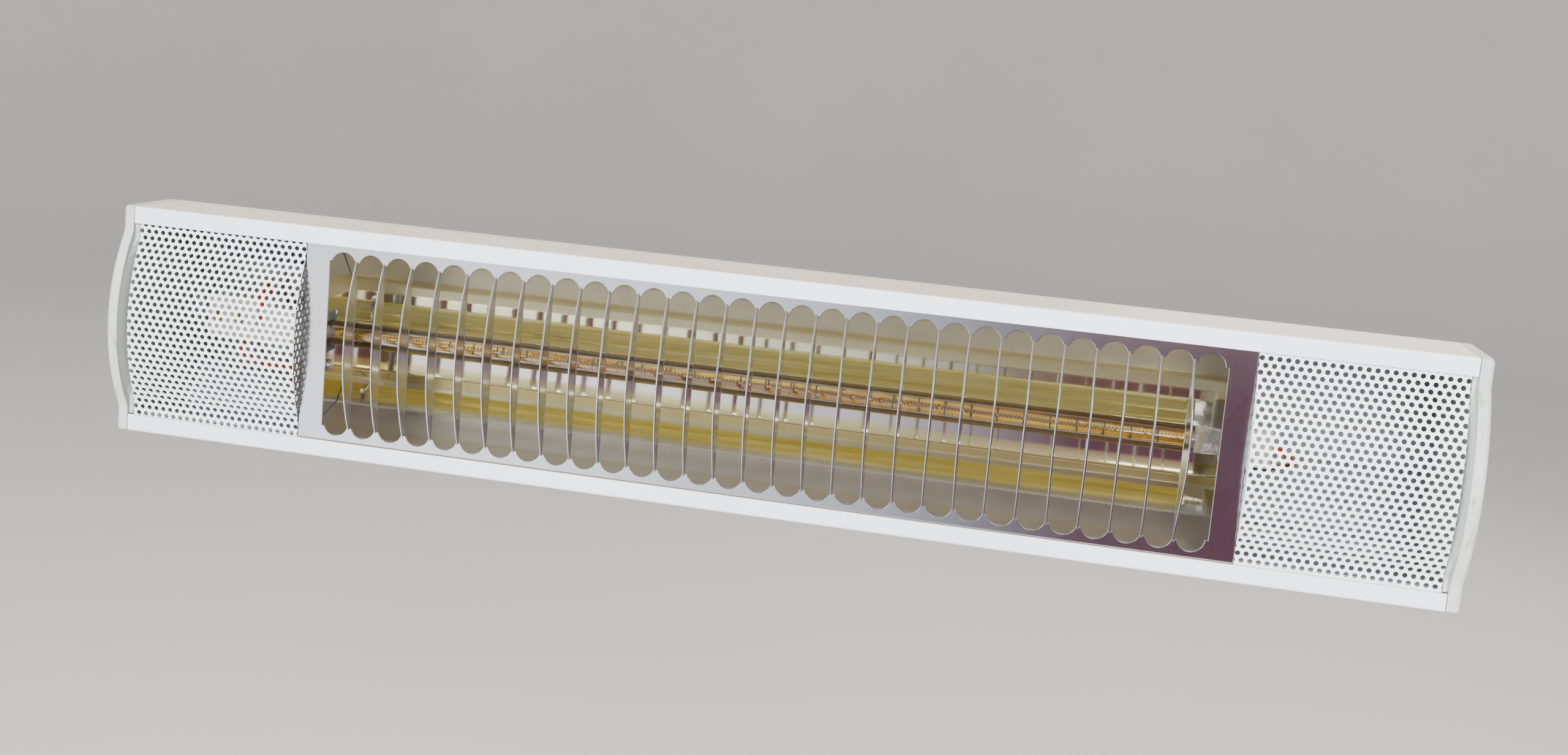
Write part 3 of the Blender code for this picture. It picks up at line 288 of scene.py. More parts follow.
def paint_grille():
    """White powder coat on perforated sheet, with some grime. The left
    panel's flange, which faces right, is darker: painted shade on faces that face right."""
    p = Paint("grille_paint", Roughness=0.38)
    base = p.ramp(p.noise(16.0, 4.0), (0.3, (0.80, 0.82, 0.85)), (0.7, (0.88, 0.89, 0.91)))
    grime = p.ramp(p.noise(70.0, 5.0, 0.7), (0.58, 0.0), (0.78, 1.0))
    colour = p.blend(p.math("MULTIPLY", grime, 0.25), base, (0.55, 0.54, 0.52))
    # Painted shade on faces that face right, such as the left panel's flange.
    right_facing_shade = p.ramp(p.axis("Normal", "X"), (0.80, 0.0), (0.95, 1.0))
    p.colour(p.blend(right_facing_shade, colour, (0.09, 0.085, 0.075)))
    p.roughness(p.noise(120.0, 3.0), 0.30, 0.46)
    p.bump((p.noise(1100.0, 2.0), 0.12, 0.0002),)
    return p.mat


def paint_guard():
    """Bright rolled aluminium, with the mill's fine lines along its length."""
    p = Paint("satin_aluminium", Metallic=1.0, Roughness=0.16)
    lines = p.noise(1.0, 6.0, 0.75, (14.0, 2600.0, 2600.0))
    cloud = p.noise(35.0, 4.0)
    grain = p.noise(2400.0, 2.0)
    p.colour(p.blend(0.25, p.ramp(cloud, (0.3, (0.76, 0.77, 0.81)), (0.7, (0.83, 0.84, 0.88))),
                     p.ramp(grain, (0.3, (0.64, 0.65, 0.70)), (0.7, (0.90, 0.91, 0.95)))))
    p.roughness(p.blend(0.5, cloud, grain), 0.11, 0.20)
    p.round_edges(0.0003)
    p.bump((lines, 0.05, 0.0002), (grain, 0.05, 0.0001))
    return p.mat


def at_height(z):
    """Place on a ramp of paint_reflector's height."""
    return 0.5 + 10.0 * z


def paint_reflector():
    """Bright rolled mirror sheet: clear in the middle of the trough, hazy and
    streaked towards its edges, with painted reflections by height: yellow bands of the gold lamp and a pink
    band just below the lamp's height."""
    p = Paint("mirror_aluminium", Metallic=0.98, Roughness=0.08)
    height = p.math("MULTIPLY_ADD", p.axis("Object", "Z"), 10.0, 0.5)
    edge = p.ramp(height, (at_height(-0.038), 1.0), (at_height(-0.033), 0.0),
                  (at_height(0.0164), 0.0), (at_height(0.0175), 1.0))
    # Painted reflections: yellow bands of the gold lamp above and below it, and a pink band just below its
    # height.
    warm = p.ramp(height, (at_height(-0.034), 0.0), (at_height(-0.030), 1.0),
                  (at_height(-0.017), 1.0), (at_height(-0.016), 0.0),
                  (at_height(0.010), 0.0), (at_height(0.013), 0.8),
                  (at_height(0.0245), 0.55), (at_height(0.026), 0.0))
    pink = p.ramp(height, (at_height(-0.018), 0.0), (at_height(-0.016), 1.0),
                  (at_height(-0.002), 1.0), (at_height(0.0), 0.0))
    streak = p.noise(1.0, 4.0, 0.6, (1500.0, 8.0, 8.0))
    wave = p.noise(40.0, 2.0, 0.5, (0.5, 1.0, 1.0))
    haze = p.noise(60.0, 4.0)
    sheet = p.ramp(haze, (0.3, (0.76, 0.75, 0.72)), (0.7, (0.86, 0.85, 0.82)))
    sheet = p.blend(p.math("MULTIPLY", pink, 0.7), sheet, (0.80, 0.66, 0.63))
    p.colour(p.blend(p.math("MULTIPLY", warm, 0.75), sheet, (0.90, 0.80, 0.36)))
    mirror = p.ramp(p.blend(0.5, streak, haze), (0.3, 0.03), (0.7, 0.10))
    dull = p.ramp(streak, (0.3, 0.34), (0.7, 0.42))
    p.link(p.blend(edge, mirror, dull), p.shader.inputs["Roughness"])
    p.bump((streak, 0.012, 0.0001), (wave, 0.10, 0.0010))
    return p.mat


def paint_gold():
    """The gold film as it shows from behind the lamp, with painted highlights
    in lengthwise streaks and a faint glow in place of the light that the trough throws on it."""
    p = Paint("gold_quartz", Metallic=0.2, Roughness=0.10, Alpha=0.94)
    # Painted highlights: lengthwise streaks of pale and deep gold along the tube.
    band = p.noise(1.0, 3.0, 0.6, (14.0, 420.0, 420.0))
    p.colour(p.ramp(band, (0.34, (0.66, 0.54, 0.07)), (0.50, (0.95, 0.84, 0.22)),
                    (0.66, (1.0, 0.97, 0.50))))
    p.glow((0.85, 0.74, 0.18), 0.12)
    p.roughness(p.noise(300.0, 3.0), 0.06, 0.18)
    p.bump((p.noise(120.0, 2.0), 0.03, 0.0003),)
    return p.mat


def paint_gold_inside():
    """The gold film seen through the clear front of the tube, with painted highlight lines and painted
    shade in lengthwise streaks.
    """
    p = Paint("gold_quartz_inside", Metallic=0.6, Roughness=0.06, Alpha=0.94)
    # Painted highlights and painted shade: lengthwise streaks from dark brown to bright gold.
    band = p.noise(1.0, 3.0, 0.6, (9.0, 520.0, 520.0))
    p.colour(p.ramp(band, (0.36, (0.20, 0.07, 0.0)), (0.50, (0.70, 0.34, 0.01)),
                    (0.60, (1.0, 0.78, 0.16))))
    p.roughness(p.noise(260.0, 3.0), 0.04, 0.12)
    p.bump((p.noise(150.0, 2.0), 0.05, 0.0003),)
    return p.mat


def paint_clear():
    """Thin clear quartz: see-through head on, shiny towards its edges."""
    p = Paint("clear_front", Metallic=1.0, Roughness=0.03)
    p.colour(p.ramp(p.noise(180.0, 4.0), (0.3, (0.90, 0.84, 0.66)), (0.7, (0.98, 0.95, 0.86))))
    rim = p.node("ShaderNodeFresnel")
    rim.inputs["IOR"].default_value = 1.6
    p.link(p.ramp(rim.outputs[0], (0.0, 0.06), (1.0, 0.95)), p.shader.inputs["Alpha"])
    p.roughness(p.noise(300.0, 3.0), 0.02, 0.06)
    return p.mat


def paint_quartz():
    """Pressed quartz at the tube's ends, uneven and a little milky."""
    p = Paint("clear_quartz", Roughness=0.06, IOR=1.46)
    p.shader.inputs["Transmission Weight"].default_value = 0.9
    p.colour(p.ramp(p.noise(260.0, 4.0), (0.35, (0.75, 0.74, 0.70)), (0.65, (0.97, 0.97, 0.95))))
    p.roughness(p.noise(500.0, 3.0), 0.03, 0.22)
    p.bump((p.noise(420.0, 3.0), 0.45, 0.0006),)
    return p.mat


def paint_metal(name, dark, light, low, high, scale, bump=0.08):
    """Plain metal with a blotchy tone, uneven shine and a fine grain."""
    p = Paint(name, Metallic=1.0, Roughness=(low + high) / 2)
    p.colour(p.ramp(p.noise(scale, 5.0, 0.65), (0.3, dark), (0.7, light)))
    p.roughness(p.noise(scale * 2.2, 4.0), low, high)
    p.bump((p.noise(scale * 9.0, 3.0), bump, 0.0002),)
    return p.mat


def paint_solid(name, dark, light, low, high, scale, bump=0.15, depth=0.0002):
    """Plastic, rubber, ceramic or paint with mottled tone and texture."""
    p = Paint(name, Roughness=(low + high) / 2)
    p.colour(p.ramp(p.noise(scale, 5.0, 0.6), (0.3, dark), (0.7, light)))
    p.roughness(p.noise(scale * 3.0, 4.0), low, high)
    p.bump((p.noise(scale * 14.0, 3.0), bump, depth),)
    return p.mat


MATS = {
    "white_paint": paint_housing(),
    "cap_paint": paint_cap(),
    "grille_paint": paint_grille(),
    "satin_aluminium": paint_guard(),
    "mirror_aluminium": paint_reflector(),
    "gold_quartz": paint_gold(),
    "gold_inside": paint_gold_inside(),
    "clear_front": paint_clear(),
    "clear_quartz": paint_quartz(),
    "tungsten": paint_metal("tungsten", (0.30, 0.28, 0.26), (0.55, 0.50, 0.45), 0.25, 0.45, 300.0),
    "zinc": paint_metal("zinc", (0.34, 0.35, 0.36), (0.52, 0.53, 0.52), 0.25, 0.48, 160.0),
    "brass": paint_metal("brass", (0.58, 0.40, 0.17), (0.80, 0.62, 0.30), 0.20, 0.40, 200.0),
    "aluminium": paint_metal("aluminium", (0.64, 0.65, 0.66), (0.82, 0.82, 0.83), 0.25, 0.42, 200.0),
    "ceramic": paint_solid("ceramic", (0.50, 0.48, 0.43), (0.64, 0.62, 0.57), 0.45, 0.65, 90.0),
    "lead_sheath": paint_solid("lead_sheath", (0.30, 0.045, 0.02), (0.46, 0.10, 0.05), 0.40, 0.60,
                               150.0, 0.4),
    "polyamide": paint_solid("polyamide", (0.045, 0.046, 0.05), (0.085, 0.085, 0.09), 0.38, 0.58, 120.0),
    "rubber": paint_solid("rubber", (0.025, 0.025, 0.025), (0.055, 0.053, 0.05), 0.70, 0.90, 160.0),
    "bracket_paint": paint_solid("bracket_paint", (0.68, 0.69, 0.70), (0.78, 0.79, 0.80), 0.34, 0.50, 70.0),
    "knob": paint_solid("knob", (0.035, 0.035, 0.04), (0.07, 0.07, 0.075), 0.35, 0.55, 150.0, 0.3),
}


# ======================================================================
# Geometry helpers
# ======================================================================
def finished(name, bm, slot, body, replaces, angle=35.0):
    """Turn a bmesh into a piece that rides on a body in place of CAD nodes."""
    mesh = bpy.data.meshes.new(name)
    bm.to_mesh(mesh)
    bm.free()
    mesh.materials.append(MATS[slot])
    mesh.shade_smooth()
    mesh.set_sharp_from_angle(angle=math.radians(angle))
    obj = bpy.data.objects.new(name, mesh)
    bpy.context.scene.collection.objects.link(obj)
    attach(obj, body)
    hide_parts(*replaces)
    return obj


def arc(centre, radius, start, end, steps):
    """Points on an arc between two angles in degrees."""
    points = []
    for i in range(steps + 1):
        angle = math.radians(start + (end - start) * i / steps)
        points.append((centre[0] + radius * math.cos(angle), centre[1] + radius * math.sin(angle)))
    return points


def plate(bm, outlines, thickness, edge, matrix):
    """Add a flat plate with holes and rounded edges. The outlines lie in XY,
    and the plate is centred on that plane before the matrix moves it."""
    curve = bpy.data.curves.new("plate", "CURVE")
    curve.dimensions = "2D"
    curve.fill_mode = "BOTH"
    curve.extrude = thickness / 2 - edge
    curve.bevel_depth = edge
    curve.bevel_resolution = 2
    curve.offset = -edge
    for outline in outlines:
        spline = curve.splines.new("POLY")
        spline.points.add(len(outline) - 1)
        for point, (x, y) in zip(spline.points, outline):
            point.co = (x, y, 0.0, 1.0)
        spline.use_cyclic_u = True
    obj = bpy.data.objects.new("plate", curve)
    bpy.context.scene.collection.objects.link(obj)
    graph = bpy.context.evaluated_depsgraph_get()
    mesh = bpy.data.meshes.new_from_object(obj.evaluated_get(graph))
    mesh.transform(matrix)
    bm.from_mesh(mesh)
    bpy.data.objects.remove(obj, do_unlink=True)
    bpy.data.curves.remove(curve)
    bpy.data.meshes.remove(mesh)


def skin(bm, rings, closed=True):
    """Join rings of vertices, each to the next, with a tube of faces."""
    for near, far in zip(rings, rings[1:]):
        last = len(near) if closed else len(near) - 1
        for k in range(last):
            j = (k + 1) % len(near)
            bm.faces.new((near[k], near[j], far[j], far[k]))


def sweep(bm, path, radius, sides):
    """Add a round wire along a path."""
    rings = []
    up = Vector((0.13, 0.21, 0.97)).normalized()
    for i, point in enumerate(path):
        before = path[max(i - 1, 0)]
        after = path[min(i + 1, len(path) - 1)]
        ahead = (Vector(after) - Vector(before)).normalized()
        side = ahead.cross(up).normalized()
        rise = side.cross(ahead)
        ring = []
        for k in range(sides):
            angle = 2 * math.pi * k / sides
            spoke = side * (radius * math.cos(angle)) + rise * (radius * math.sin(angle))
            ring.append(bm.verts.new(Vector(point) + spoke))
        rings.append(ring)
    skin(bm, rings)
    bm.faces.new(list(reversed(rings[0])))
    bm.faces.new(rings[-1])


def prism_x(bm, outline, x0, x1, divisions=1):
    """Add a closed body with a (y, z) outline, swept along X."""
    rings = []
    for i in range(divisions + 1):
        x = x0 + (x1 - x0) * i / divisions
        rings.append([bm.verts.new((x, y, z)) for y, z in outline])
    skin(bm, rings)
    bm.faces.new(rings[0])
    bm.faces.new(rings[-1])
    bmesh.ops.recalc_face_normals(bm, faces=bm.faces)


def rounded(path, radius, steps=4):
    """Round the inner corners of an open path."""
    points = [Vector(path[0])]
    for before, here, after in zip(path, path[1:], path[2:]):
        before, here, after = Vector(before), Vector(here), Vector(after)
        reach = min(radius, (before - here).length / 2.2, (after - here).length / 2.2)
        start = here + (before - here).normalized() * reach
        end = here + (after - here).normalized() * reach
        for k in range(steps + 1):
            t = k / steps
            points.append(start * (1 - t) ** 2 + here * (2 * t * (1 - t)) + end * t ** 2)
    points.append(Vector(path[-1]))
    return points


def offset_path(points, distance):
    """Offset an open path to its left side with mitred corners."""
    result = []
    for i, here in enumerate(points):
        normals = []
        for a, b in ((i - 1, i), (i, i + 1)):
            if a >= 0 and b < len(points):
                step = (points[b] - points[a]).normalized()
                normals.append(Vector((-step.y, step.x)))
        normal = sum(normals, Vector((0.0, 0.0))).normalized()
        result.append(here + normal * (distance / max(0.3, normal.dot(normals[0]))))
    return result


# ======================================================================
# Guard
# ======================================================================
def slot_centre(index):
    return (index - (SLOT_COUNT - 1) / 2) * SLOT_PITCH


def slot_outline(index):
    """Closed outline of a slot, with a notch towards the rib at its left.
    The last slot is wider, with a straight right side."""
    middle = slot_centre(index)
    left = middle - SLOT_PITCH / 2
    top = SLOT_CENTRE_Z + NOTCH_UP
    meet = math.degrees(math.asin(NOTCH_UP / SLOT_END_R))
    upper = arc((middle, SLOT_CENTRE_Z), SLOT_END_R, 0, 180 - meet, 22)
    lower = arc((middle, -SLOT_CENTRE_Z), SLOT_END_R, 180 + meet, 360, 22)
    if index == SLOT_COUNT - 1:
        right = middle + END_SLOT_OUT
        upper = [(right, -SLOT_CENTRE_Z), (right, SLOT_CENTRE_Z)] + upper
    return upper + [(left, top), (left, -top)] + lower


def bow(reach, rise, start, steps):
    """Arc with a rise over a chord of twice the reach, as (forward, z)."""
    radius = (reach * reach + rise * rise) / (2 * rise)
    spread = math.degrees(math.asin(reach / radius))
    return arc((start + rise - radius, 0.0), radius, -spread, spread, steps)


def rib_outline():
    """Side view of a rib as (forward, z)."""
    reach = SLOT_CENTRE_Z + NOTCH_UP + RIB_ROOT
    front = bow(reach, RIB_BOW, 0.0, 40)
    back = bow(reach, RIB_BACK_BOW, -SHEET * 0.8, 12)
    return front + list(reversed(back))


def build_guard():
    """Slotted sheet, and ribs that each lean a little their own way."""
    bm = bmesh.new()
    outer = [(-GUARD_HALF, -SHEET_HALF_Z), (GUARD_HALF, -SHEET_HALF_Z),
             (GUARD_HALF, SHEET_HALF_Z), (-GUARD_HALF, SHEET_HALF_Z)]
    outlines = [outer] + [list(reversed(slot_outline(i))) for i in range(SLOT_COUNT)]
    lay = Matrix(((1, 0, 0, 0), (0, 0, -1, FRONT + SHEET / 2), (0, 1, 0, 0), (0, 0, 0, 1)))
    plate(bm, outlines, SHEET, SHEET_EDGE, lay)
    for index in range(SLOT_COUNT - 1):
        x = slot_centre(index) + SLOT_PITCH / 2 - RIB_T / 2
        stand = Matrix(((0, 0, 1, x), (-1, 0, 0, FRONT), (0, 1, 0, 0), (0, 0, 0, 1)))
        first = len(bm.verts)
        plate(bm, [rib_outline()], RIB_T, RIB_EDGE, stand)
        lean = RIB_BENT if index == SLOT_COUNT - 2 else RIB_SWAY * math.sin(index * 2.3)
        bm.verts.ensure_lookup_table()
        for vert in bm.verts[first:]:
            share = max(0.0, 1.0 - (vert.co.z / SLOT_CENTRE_Z) ** 2)
            forward = max(0.0, FRONT - vert.co.y) / RIB_BOW
            vert.co.x += lean * share * forward
    finished("guard_fine", bm, "satin_aluminium", "heater", ["front_guard"], 40.0)


# ======================================================================
# Perforated side panels
# ======================================================================
def panel_section():
    """Arc-length map of a panel's section: s to (forward, z)."""
    radius = (GRILLE_CHORD ** 2 + GRILLE_BULGE ** 2) / (2 * GRILLE_BULGE)
    centre = GRILLE_BULGE - radius
    foot = math.sqrt((radius + GRILLE_FILLET) ** 2 - (GRILLE_FILLET - centre) ** 2)
    meet = math.asin(foot / (radius + GRILLE_FILLET))
    bend = radius * meet
    flat = (radius + GRILLE_FILLET) * meet

    def place(s):
        sign = 1.0 if s >= 0 else -1.0
        s = abs(s)
        if s < bend:
            angle = s / radius
            return centre + radius * math.cos(angle), sign * radius * math.sin(angle)
        if s < flat:
            angle = meet - (s - bend) / GRILLE_FILLET
            forward = GRILLE_FILLET - GRILLE_FILLET * math.cos(angle)
            return forward, sign * (foot - GRILLE_FILLET * math.sin(angle))
        return 0.0, sign * (foot + s - flat)

    return place, flat + SHEET_HALF_Z - foot


def perforated(width, height, shift):
    """Flat sheet full of staggered round holes, cut off at its edges.
    Each hole sits in a six-sided cell that it shares with its neighbours."""
    bm = bmesh.new()
    rows = int(height / HOLE_ROW / 2) + 2
    columns = int(width / HOLE_PITCH) + 3
    for row in range(-rows, rows + 1):
        for column in range(-1, columns):
            u = (column + (0.5 if row % 2 else 0.0)) * HOLE_PITCH + shift[0]
            v = row * HOLE_ROW + shift[1]
            inner = []
            outer = []
            for k in range(12):
                angle = math.pi * k / 6
                cos, sin = math.cos(angle), math.sin(angle)
                reach = HOLE_PITCH / 2 if k % 2 == 0 else HOLE_PITCH / math.sqrt(3)
                inner.append(bm.verts.new((u + HOLE_R * cos, v + HOLE_R * sin, 0.0)))
                outer.append(bm.verts.new((u + reach * cos, v + reach * sin, 0.0)))
            for k in range(12):
                j = (k + 1) % 12
                bm.faces.new((inner[k], outer[k], outer[j], inner[j]))
    bmesh.ops.remove_doubles(bm, verts=bm.verts, dist=1e-5)
    for point, normal in (((0, 0, 0), (-1, 0, 0)), ((width, 0, 0), (1, 0, 0)),
                          ((0, -height / 2, 0), (0, -1, 0)), ((0, height / 2, 0), (0, 1, 0))):
        crop(bm, point, normal)
    return bm


def crop(bm, point, normal):
    """Cut a bmesh by a plane and drop what lies on the normal's side."""
    everything = list(bm.verts) + list(bm.edges) + list(bm.faces)
    bmesh.ops.bisect_plane(bm, geom=everything, plane_co=point, plane_no=normal, clear_outer=True)


def thicken(bm, offset):
    """Give a sheet its thickness: offset is a function of a vertex."""
    faces = list(bm.faces)
    edges = [edge for edge in bm.edges if len(edge.link_faces) == 1]
    twins = {vert: bm.verts.new(vert.co + offset(vert)) for vert in list(bm.verts)}
    for face in faces:
        bm.faces.new([twins[vert] for vert in reversed(face.verts)])
    for edge in edges:
        a, b = edge.verts
        bm.faces.new((a, b, twins[b], twins[a]))
    bmesh.ops.recalc_face_normals(bm, faces=bm.faces)


def build_panel(word, side):
    """Perforated sheet bent to the panel's section, with its flange."""
    place, half = panel_section()
    low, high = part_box("side_grille_" + word)
    width = high.x - low.x
    bm = perforated(width, 2 * half, (0.0011, 0.0004 if side < 0 else 0.0013))
    step = 1e-5
    normals = {}
    for vert in bm.verts:
        u, s = vert.co.x, vert.co.y
        forward, z = place(s)
        ahead, z_next = place(s + step)
        x = high.x - u if side < 0 else low.x + u
        vert.co = (x, FRONT - forward, z)
        along = Vector((0.0, -(ahead - forward), z_next - z)).normalized()
        normals[vert] = Vector((0.0, along.z, -along.y))
    thicken(bm, lambda vert: normals[vert] * GRILLE_SHEET)
    flange(bm, low.x + GRILLE_SHEET if side > 0 else high.x - GRILLE_SHEET, side, place)
    finished("perforated_panel_" + word, bm, "grille_paint", "heater", ["side_grille_" + word], 40.0)


def flange(target, x, side, place):
    """The panel's inner edge, bent back to the guard, is perforated too."""
    bm = perforated(GRILLE_BULGE, 2 * GRILLE_CHORD, (0.0006, 0.0004))
    steps = 24
    reach = GRILLE_CHORD * 1.02
    points = [place(reach * (2 * i / steps - 1)) for i in range(steps + 1)]
    for (f0, z0), (f1, z1) in zip(points, points[1:]):
        outward = Vector((z1 - z0, f0 - f1, 0.0)).normalized()
        if min(f0, f1) > FLANGE_SHORT:
            crop(bm, (f0 - FLANGE_SHORT, z0, 0.0), outward)
    for vert in bm.verts:
        vert.co = (x, FRONT - vert.co.x, vert.co.y)
    thicken(bm, lambda vert: Vector((-side * GRILLE_SHEET * 0.95, 0.0, 0.0)))
    mesh = bpy.data.meshes.new("flange")
    bm.to_mesh(mesh)
    bm.free()
    target.from_mesh(mesh)
    bpy.data.meshes.remove(mesh)


# ======================================================================
# Lamp
# ======================================================================
def half_tube(bm, start, end):
    """Half of the tube's wall, between two angles in degrees."""
    outer = arc((LAMP_Y, 0.0), TUBE_R, start, end, 28)
    inner = arc((LAMP_Y, 0.0), TUBE_R - TUBE_WALL, end, start, 28)
    prism_x(bm, outer + inner, TUBE_LOW.x, TUBE_HIGH.x)


def build_tube():
    """Clear quartz towards the room, gold-coated towards the reflector."""
    bm = bmesh.new()
    half_tube(bm, 84, 276)
    clear = finished("lamp_tube_clear", bm, "clear_front", "heater", ["lamp_tube"])
    bm = bmesh.new()
    half_tube(bm, -83.5, 83.5)
    for face in bm.faces:
        middle = face.calc_center_median()
        radius = math.hypot(middle.y - LAMP_Y, middle.z)
        face.material_index = 0 if radius > TUBE_R - TUBE_WALL / 2 else 1
    gold = finished("lamp_tube_gold", bm, "gold_quartz", "heater", ["lamp_tube"])
    gold.data.materials.append(MATS["gold_inside"])


def build_reflector():
    """Trough with softly rounded bends."""
    upper = [(FRONT + d, OPENING_HALF - drop) for d, drop in REFLECTOR_BENDS]
    lower = [(y, -z) for y, z in upper[:-1]]
    path = rounded(lower + list(reversed(upper)), REFLECTOR_BEND_R)
    back = offset_path(path, -REFLECTOR_T)
    low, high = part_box("reflector")
    bm = bmesh.new()
    prism_x(bm, path + list(reversed(back)), low.x, high.x, 24)
    finished("reflector_fine", bm, "mirror_aluminium", "heater", ["reflector"], 60.0)


def build_filament():
    """Coiled wire on the axis, held off the tube by open wire rings."""
    bm = bmesh.new()
    start = TUBE_LOW.x + COIL_INSET
    end = TUBE_HIGH.x - COIL_INSET
    sides = 8
    steps = int((end - start) / COIL_PITCH) * sides
    path = []
    for i in range(steps + 1):
        angle = 2 * math.pi * i / sides
        x = start + (end - start) * i / steps
        path.append((x, LAMP_Y + COIL_R * math.cos(angle), COIL_R * math.sin(angle)))
    sweep(bm, path, COIL_WIRE_R, 4)
    for i in range(RING_COUNT):
        x = start + RING_INSET + i * (end - start - 2 * RING_INSET) / (RING_COUNT - 1)
        turn = 40.0 * math.sin(i * 1.7)
        ring = [(x, y, z) for y, z in arc((LAMP_Y, 0.0), RING_R, turn, turn + RING_ARC, 20)]
        sweep(bm, ring, RING_WIRE_R, 6)
    bmesh.ops.recalc_face_normals(bm, faces=bm.faces)
    finished("lamp_filament_fine", bm, "tungsten", "heater", ["lamp_filament"])


# ======================================================================
# CAD nodes that stay
# ======================================================================
def repaint():
    """Give each CAD node's slots the material of the same name."""
    for obj in NODES.values():
        for slot in obj.material_slots:
            name = slot.material.name.split(".")[0]
            if name in MATS:
                slot.material = MATS[name]


# ======================================================================
# Stage, light and camera
# ======================================================================
def stage_piece(name, bm, paint):
    """Add a piece of the studio, which isn't part of the heater."""
    mesh = bpy.data.meshes.new(name)
    bm.to_mesh(mesh)
    bm.free()
    mesh.materials.append(paint.mat)
    mesh.shade_smooth()
    obj = bpy.data.objects.new(name, mesh)
    bpy.context.scene.collection.objects.link(obj)
    return obj


def build_floor():
    """Pale floor that curves up into a pale wall all round."""
    flat, bend, height, sides = 4.2, 2.0, 5.0, 72
    profile = [(0.02, 0.0), (2.0, 0.0)]
    for degrees in range(0, 91, 9):
        angle = math.radians(degrees)
        profile.append((flat + bend * math.sin(angle), bend - bend * math.cos(angle)))
    profile.append((flat + bend, height))
    bm = bmesh.new()
    rings = []
    for radius, rise in profile:
        outline = arc((0.0, 0.0), radius, 0, 360, sides)[:-1]
        rings.append([bm.verts.new((x, y, FLOOR_Z + rise)) for x, y in outline])
    skin(bm, rings)
    bm.faces.new(rings[0])
    paint = Paint("floor", Roughness=0.9)
    paint.colour(paint.ramp(paint.noise(1.5, 3.0), (0.3, (0.640, 0.621, 0.592)), (0.7, (0.66, 0.64, 0.61))))
    stage_piece("floor", bm, paint)


def paint_room():
    """Glowing walls: cool light on the left, mauve on the right, warm above."""
    p = Paint("room", Roughness=1.0)
    p.shader.inputs["Specular IOR Level"].default_value = 0.0
    p.colour(p.ramp(p.noise(0.5, 2.0), (0.3, 0.0), (0.7, 0.004)))
    across = p.math("MULTIPLY_ADD", p.axis("Object", "X"), 0.25, 0.5)
    walls = p.ramp(across, (0.26, (1.00, 1.00, 1.00)), (0.40, (0.66, 0.69, 0.74)),
                   (0.48, (0.26, 0.265, 0.30)), (0.55, (0.085, 0.036, 0.052)),
                   (0.90, (0.055, 0.024, 0.034)))
    upper = p.ramp(across, (0.2, (0.38, 0.36, 0.335)), (0.8, (0.29, 0.25, 0.225)))
    level = p.ramp(p.math("MULTIPLY_ADD", p.axis("Object", "Z"), 0.5, 0.5), (0.30, 0.0), (0.62, 1.0))
    patches = p.ramp(p.noise(1.6, 3.0), (0.35, 0.75), (0.65, 1.15))
    p.glow(p.blend(1.0, p.blend(level, walls, upper), patches, "MULTIPLY"), 1.9)
    return p


def build_room():
    """The room that the metal mirrors: half a dome in front, and its floor,
    seen only in reflections."""
    bm = bmesh.new()
    rings = []
    for rise in (math.radians(-88 + 5.5 * i) for i in range(33)):
        outline = arc((0.0, 0.0), ROOM_R * math.cos(rise), 0, -180, 64)
        rings.append([bm.verts.new((x, y, ROOM_R * math.sin(rise))) for x, y in outline])
    skin(bm, rings, closed=False)
    carpet = ((-ROOM_R, 0.4), (-ROOM_R, -ROOM_R), (ROOM_R, -ROOM_R), (ROOM_R, 0.4))
    bm.faces.new([bm.verts.new((x, y, FLOOR_Z + 0.01)) for x, y in carpet])
    glossy_only(stage_piece("room", bm, paint_room()))


def build_window(name, place, size):
    """Bright window with a cross bar, seen only in reflections."""
    bm = bmesh.new()
    for column in (-1, 1):
        for row in (-1, 1):
            middle = (column * size[0] * 0.27, row * size[1] * 0.27)
            corners = [(middle[0] + a * size[0] * 0.23, 0.0, middle[1] + b * size[1] * 0.23)
                       for a, b in ((-1, -1), (1, -1), (1, 1), (-1, 1))]
            bm.faces.new([bm.verts.new(corner) for corner in corners])
    paint = Paint(name, Roughness=1.0)
    paint.colour(paint.ramp(paint.noise(1.0, 1.0), (0.3, 0.02), (0.7, 0.03)))
    paint.glow(paint.ramp(paint.noise(2.0, 2.0), (0.3, (5.0, 5.2, 5.6)), (0.7, (6.0, 6.2, 6.4))), 1.0)
    obj = stage_piece(name, bm, paint)
    obj.location = place
    obj.rotation_euler = (-Vector(place)).to_track_quat("-Y", "Z").to_euler()
    glossy_only(obj)


def glossy_only(obj):
    """Leave an object to reflections: it casts no shadow and no light."""
    obj.visible_camera = False
    obj.visible_diffuse = False
    obj.visible_transmission = False
    obj.visible_shadow = False


def area_light(name, place, target, size, power, colour):
    """Soft light that the camera doesn't see."""
    data = bpy.data.lights.new(name, "AREA")
    data.shape = "RECTANGLE"
    data.size, data.size_y = size
    data.energy = power
    data.color = colour
    obj = bpy.data.objects.new(name, data)
    bpy.context.scene.collection.objects.link(obj)
    obj.location = place
    obj.rotation_euler = (Vector(target) - Vector(place)).to_track_quat("-Z", "Y").to_euler()
    obj.visible_camera = False
    return obj


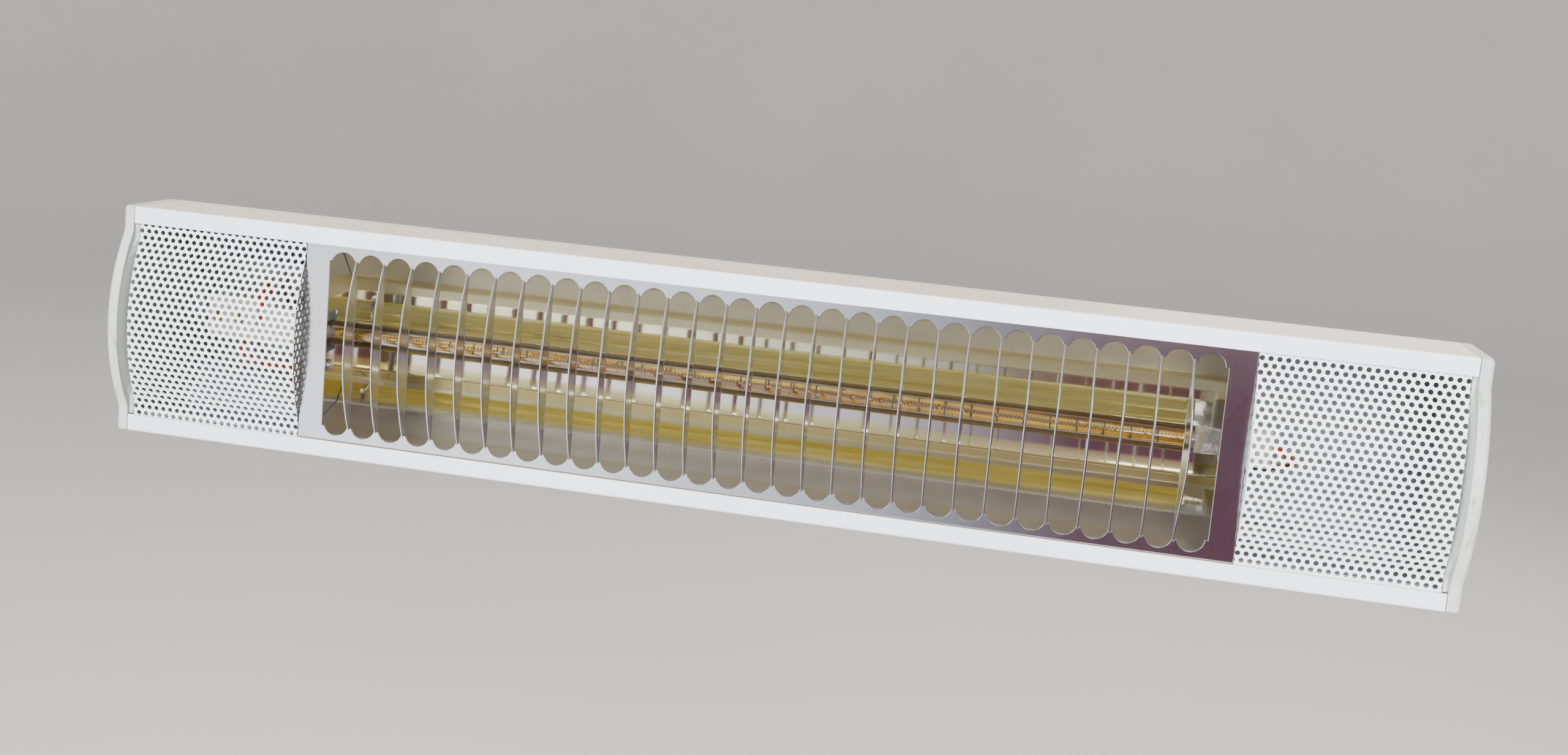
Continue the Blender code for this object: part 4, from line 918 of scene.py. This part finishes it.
def build_stage():
    """Studio round the heater. Only the rear light shows in the metal."""
    build_floor()
    build_room()
    build_window("window_left", (-1.5, -1.5, 0.75), (0.55, 0.8))
    build_window("window_right", (0.5, -2.2, 0.30), (0.5, 0.35))
    world = bpy.data.worlds.new("studio")
    bpy.context.scene.world = world
    world.use_nodes = True
    back = world.node_tree.nodes["Background"]
    back.inputs["Color"].default_value = (0.95, 0.97, 1.0, 1.0)
    back.inputs["Strength"].default_value = 0.7
    middle = (0.0, FRONT, 0.0)
    key = area_light("key", (-0.9, -2.1, 1.6), middle, (2.0, 1.5), 92.0, (0.97, 0.985, 1.0))
    front = area_light("front", (0.9, -2.1, 0.6), (0.25, FRONT, 0.0), (1.2, 1.2), 130.0, (0.98, 0.99, 1.0))
    low = area_light("low_left", (-1.9, -1.7, -0.2), middle, (1.0, 0.7), 22.0, (0.86, 0.92, 1.0))
    top = area_light("top", (0.1, 0.3, 1.6), middle, (2.0, 0.6), 22.0, (1.0, 0.93, 0.84))
    for light in (key, front, low, top):
        light.visible_glossy = False
    area_light("rear", (0.9, 2.0, 1.0), (0.0, 0.0, 0.0), (1.5, 1.0), 16.0, (1.0, 0.98, 0.95))


def build_camera():
    """Camera at the heater's upper right front, rolled a little."""
    azimuth, elevation, roll = (math.radians(a) for a in (-9.67, -7.17, 5.02))
    ahead = Vector((math.sin(azimuth) * math.cos(elevation),
                    math.cos(azimuth) * math.cos(elevation), math.sin(elevation)))
    level = Vector((math.cos(azimuth), -math.sin(azimuth), 0.0))
    upright = level.cross(ahead)
    right = math.cos(roll) * level + math.sin(roll) * upright
    up = -math.sin(roll) * level + math.cos(roll) * upright
    data = bpy.data.cameras.new("camera")
    data.sensor_width = 36.0
    data.lens = 36.4
    data.shift_x = -0.0013
    data.shift_y = -0.0823
    data.clip_start = 0.02
    data.clip_end = 100.0
    obj = bpy.data.objects.new("camera", data)
    bpy.context.scene.collection.objects.link(obj)
    turn = Matrix((right, up, -ahead)).transposed().to_4x4()
    obj.matrix_world = Matrix.Translation((0.1232, FRONT - 0.6645, 0.1509)) @ turn
    bpy.context.scene.camera = obj


build_guard()
build_panel("left", -1)
build_panel("right", 1)
build_tube()
build_filament()
build_reflector()
repaint()
build_stage()
build_camera()
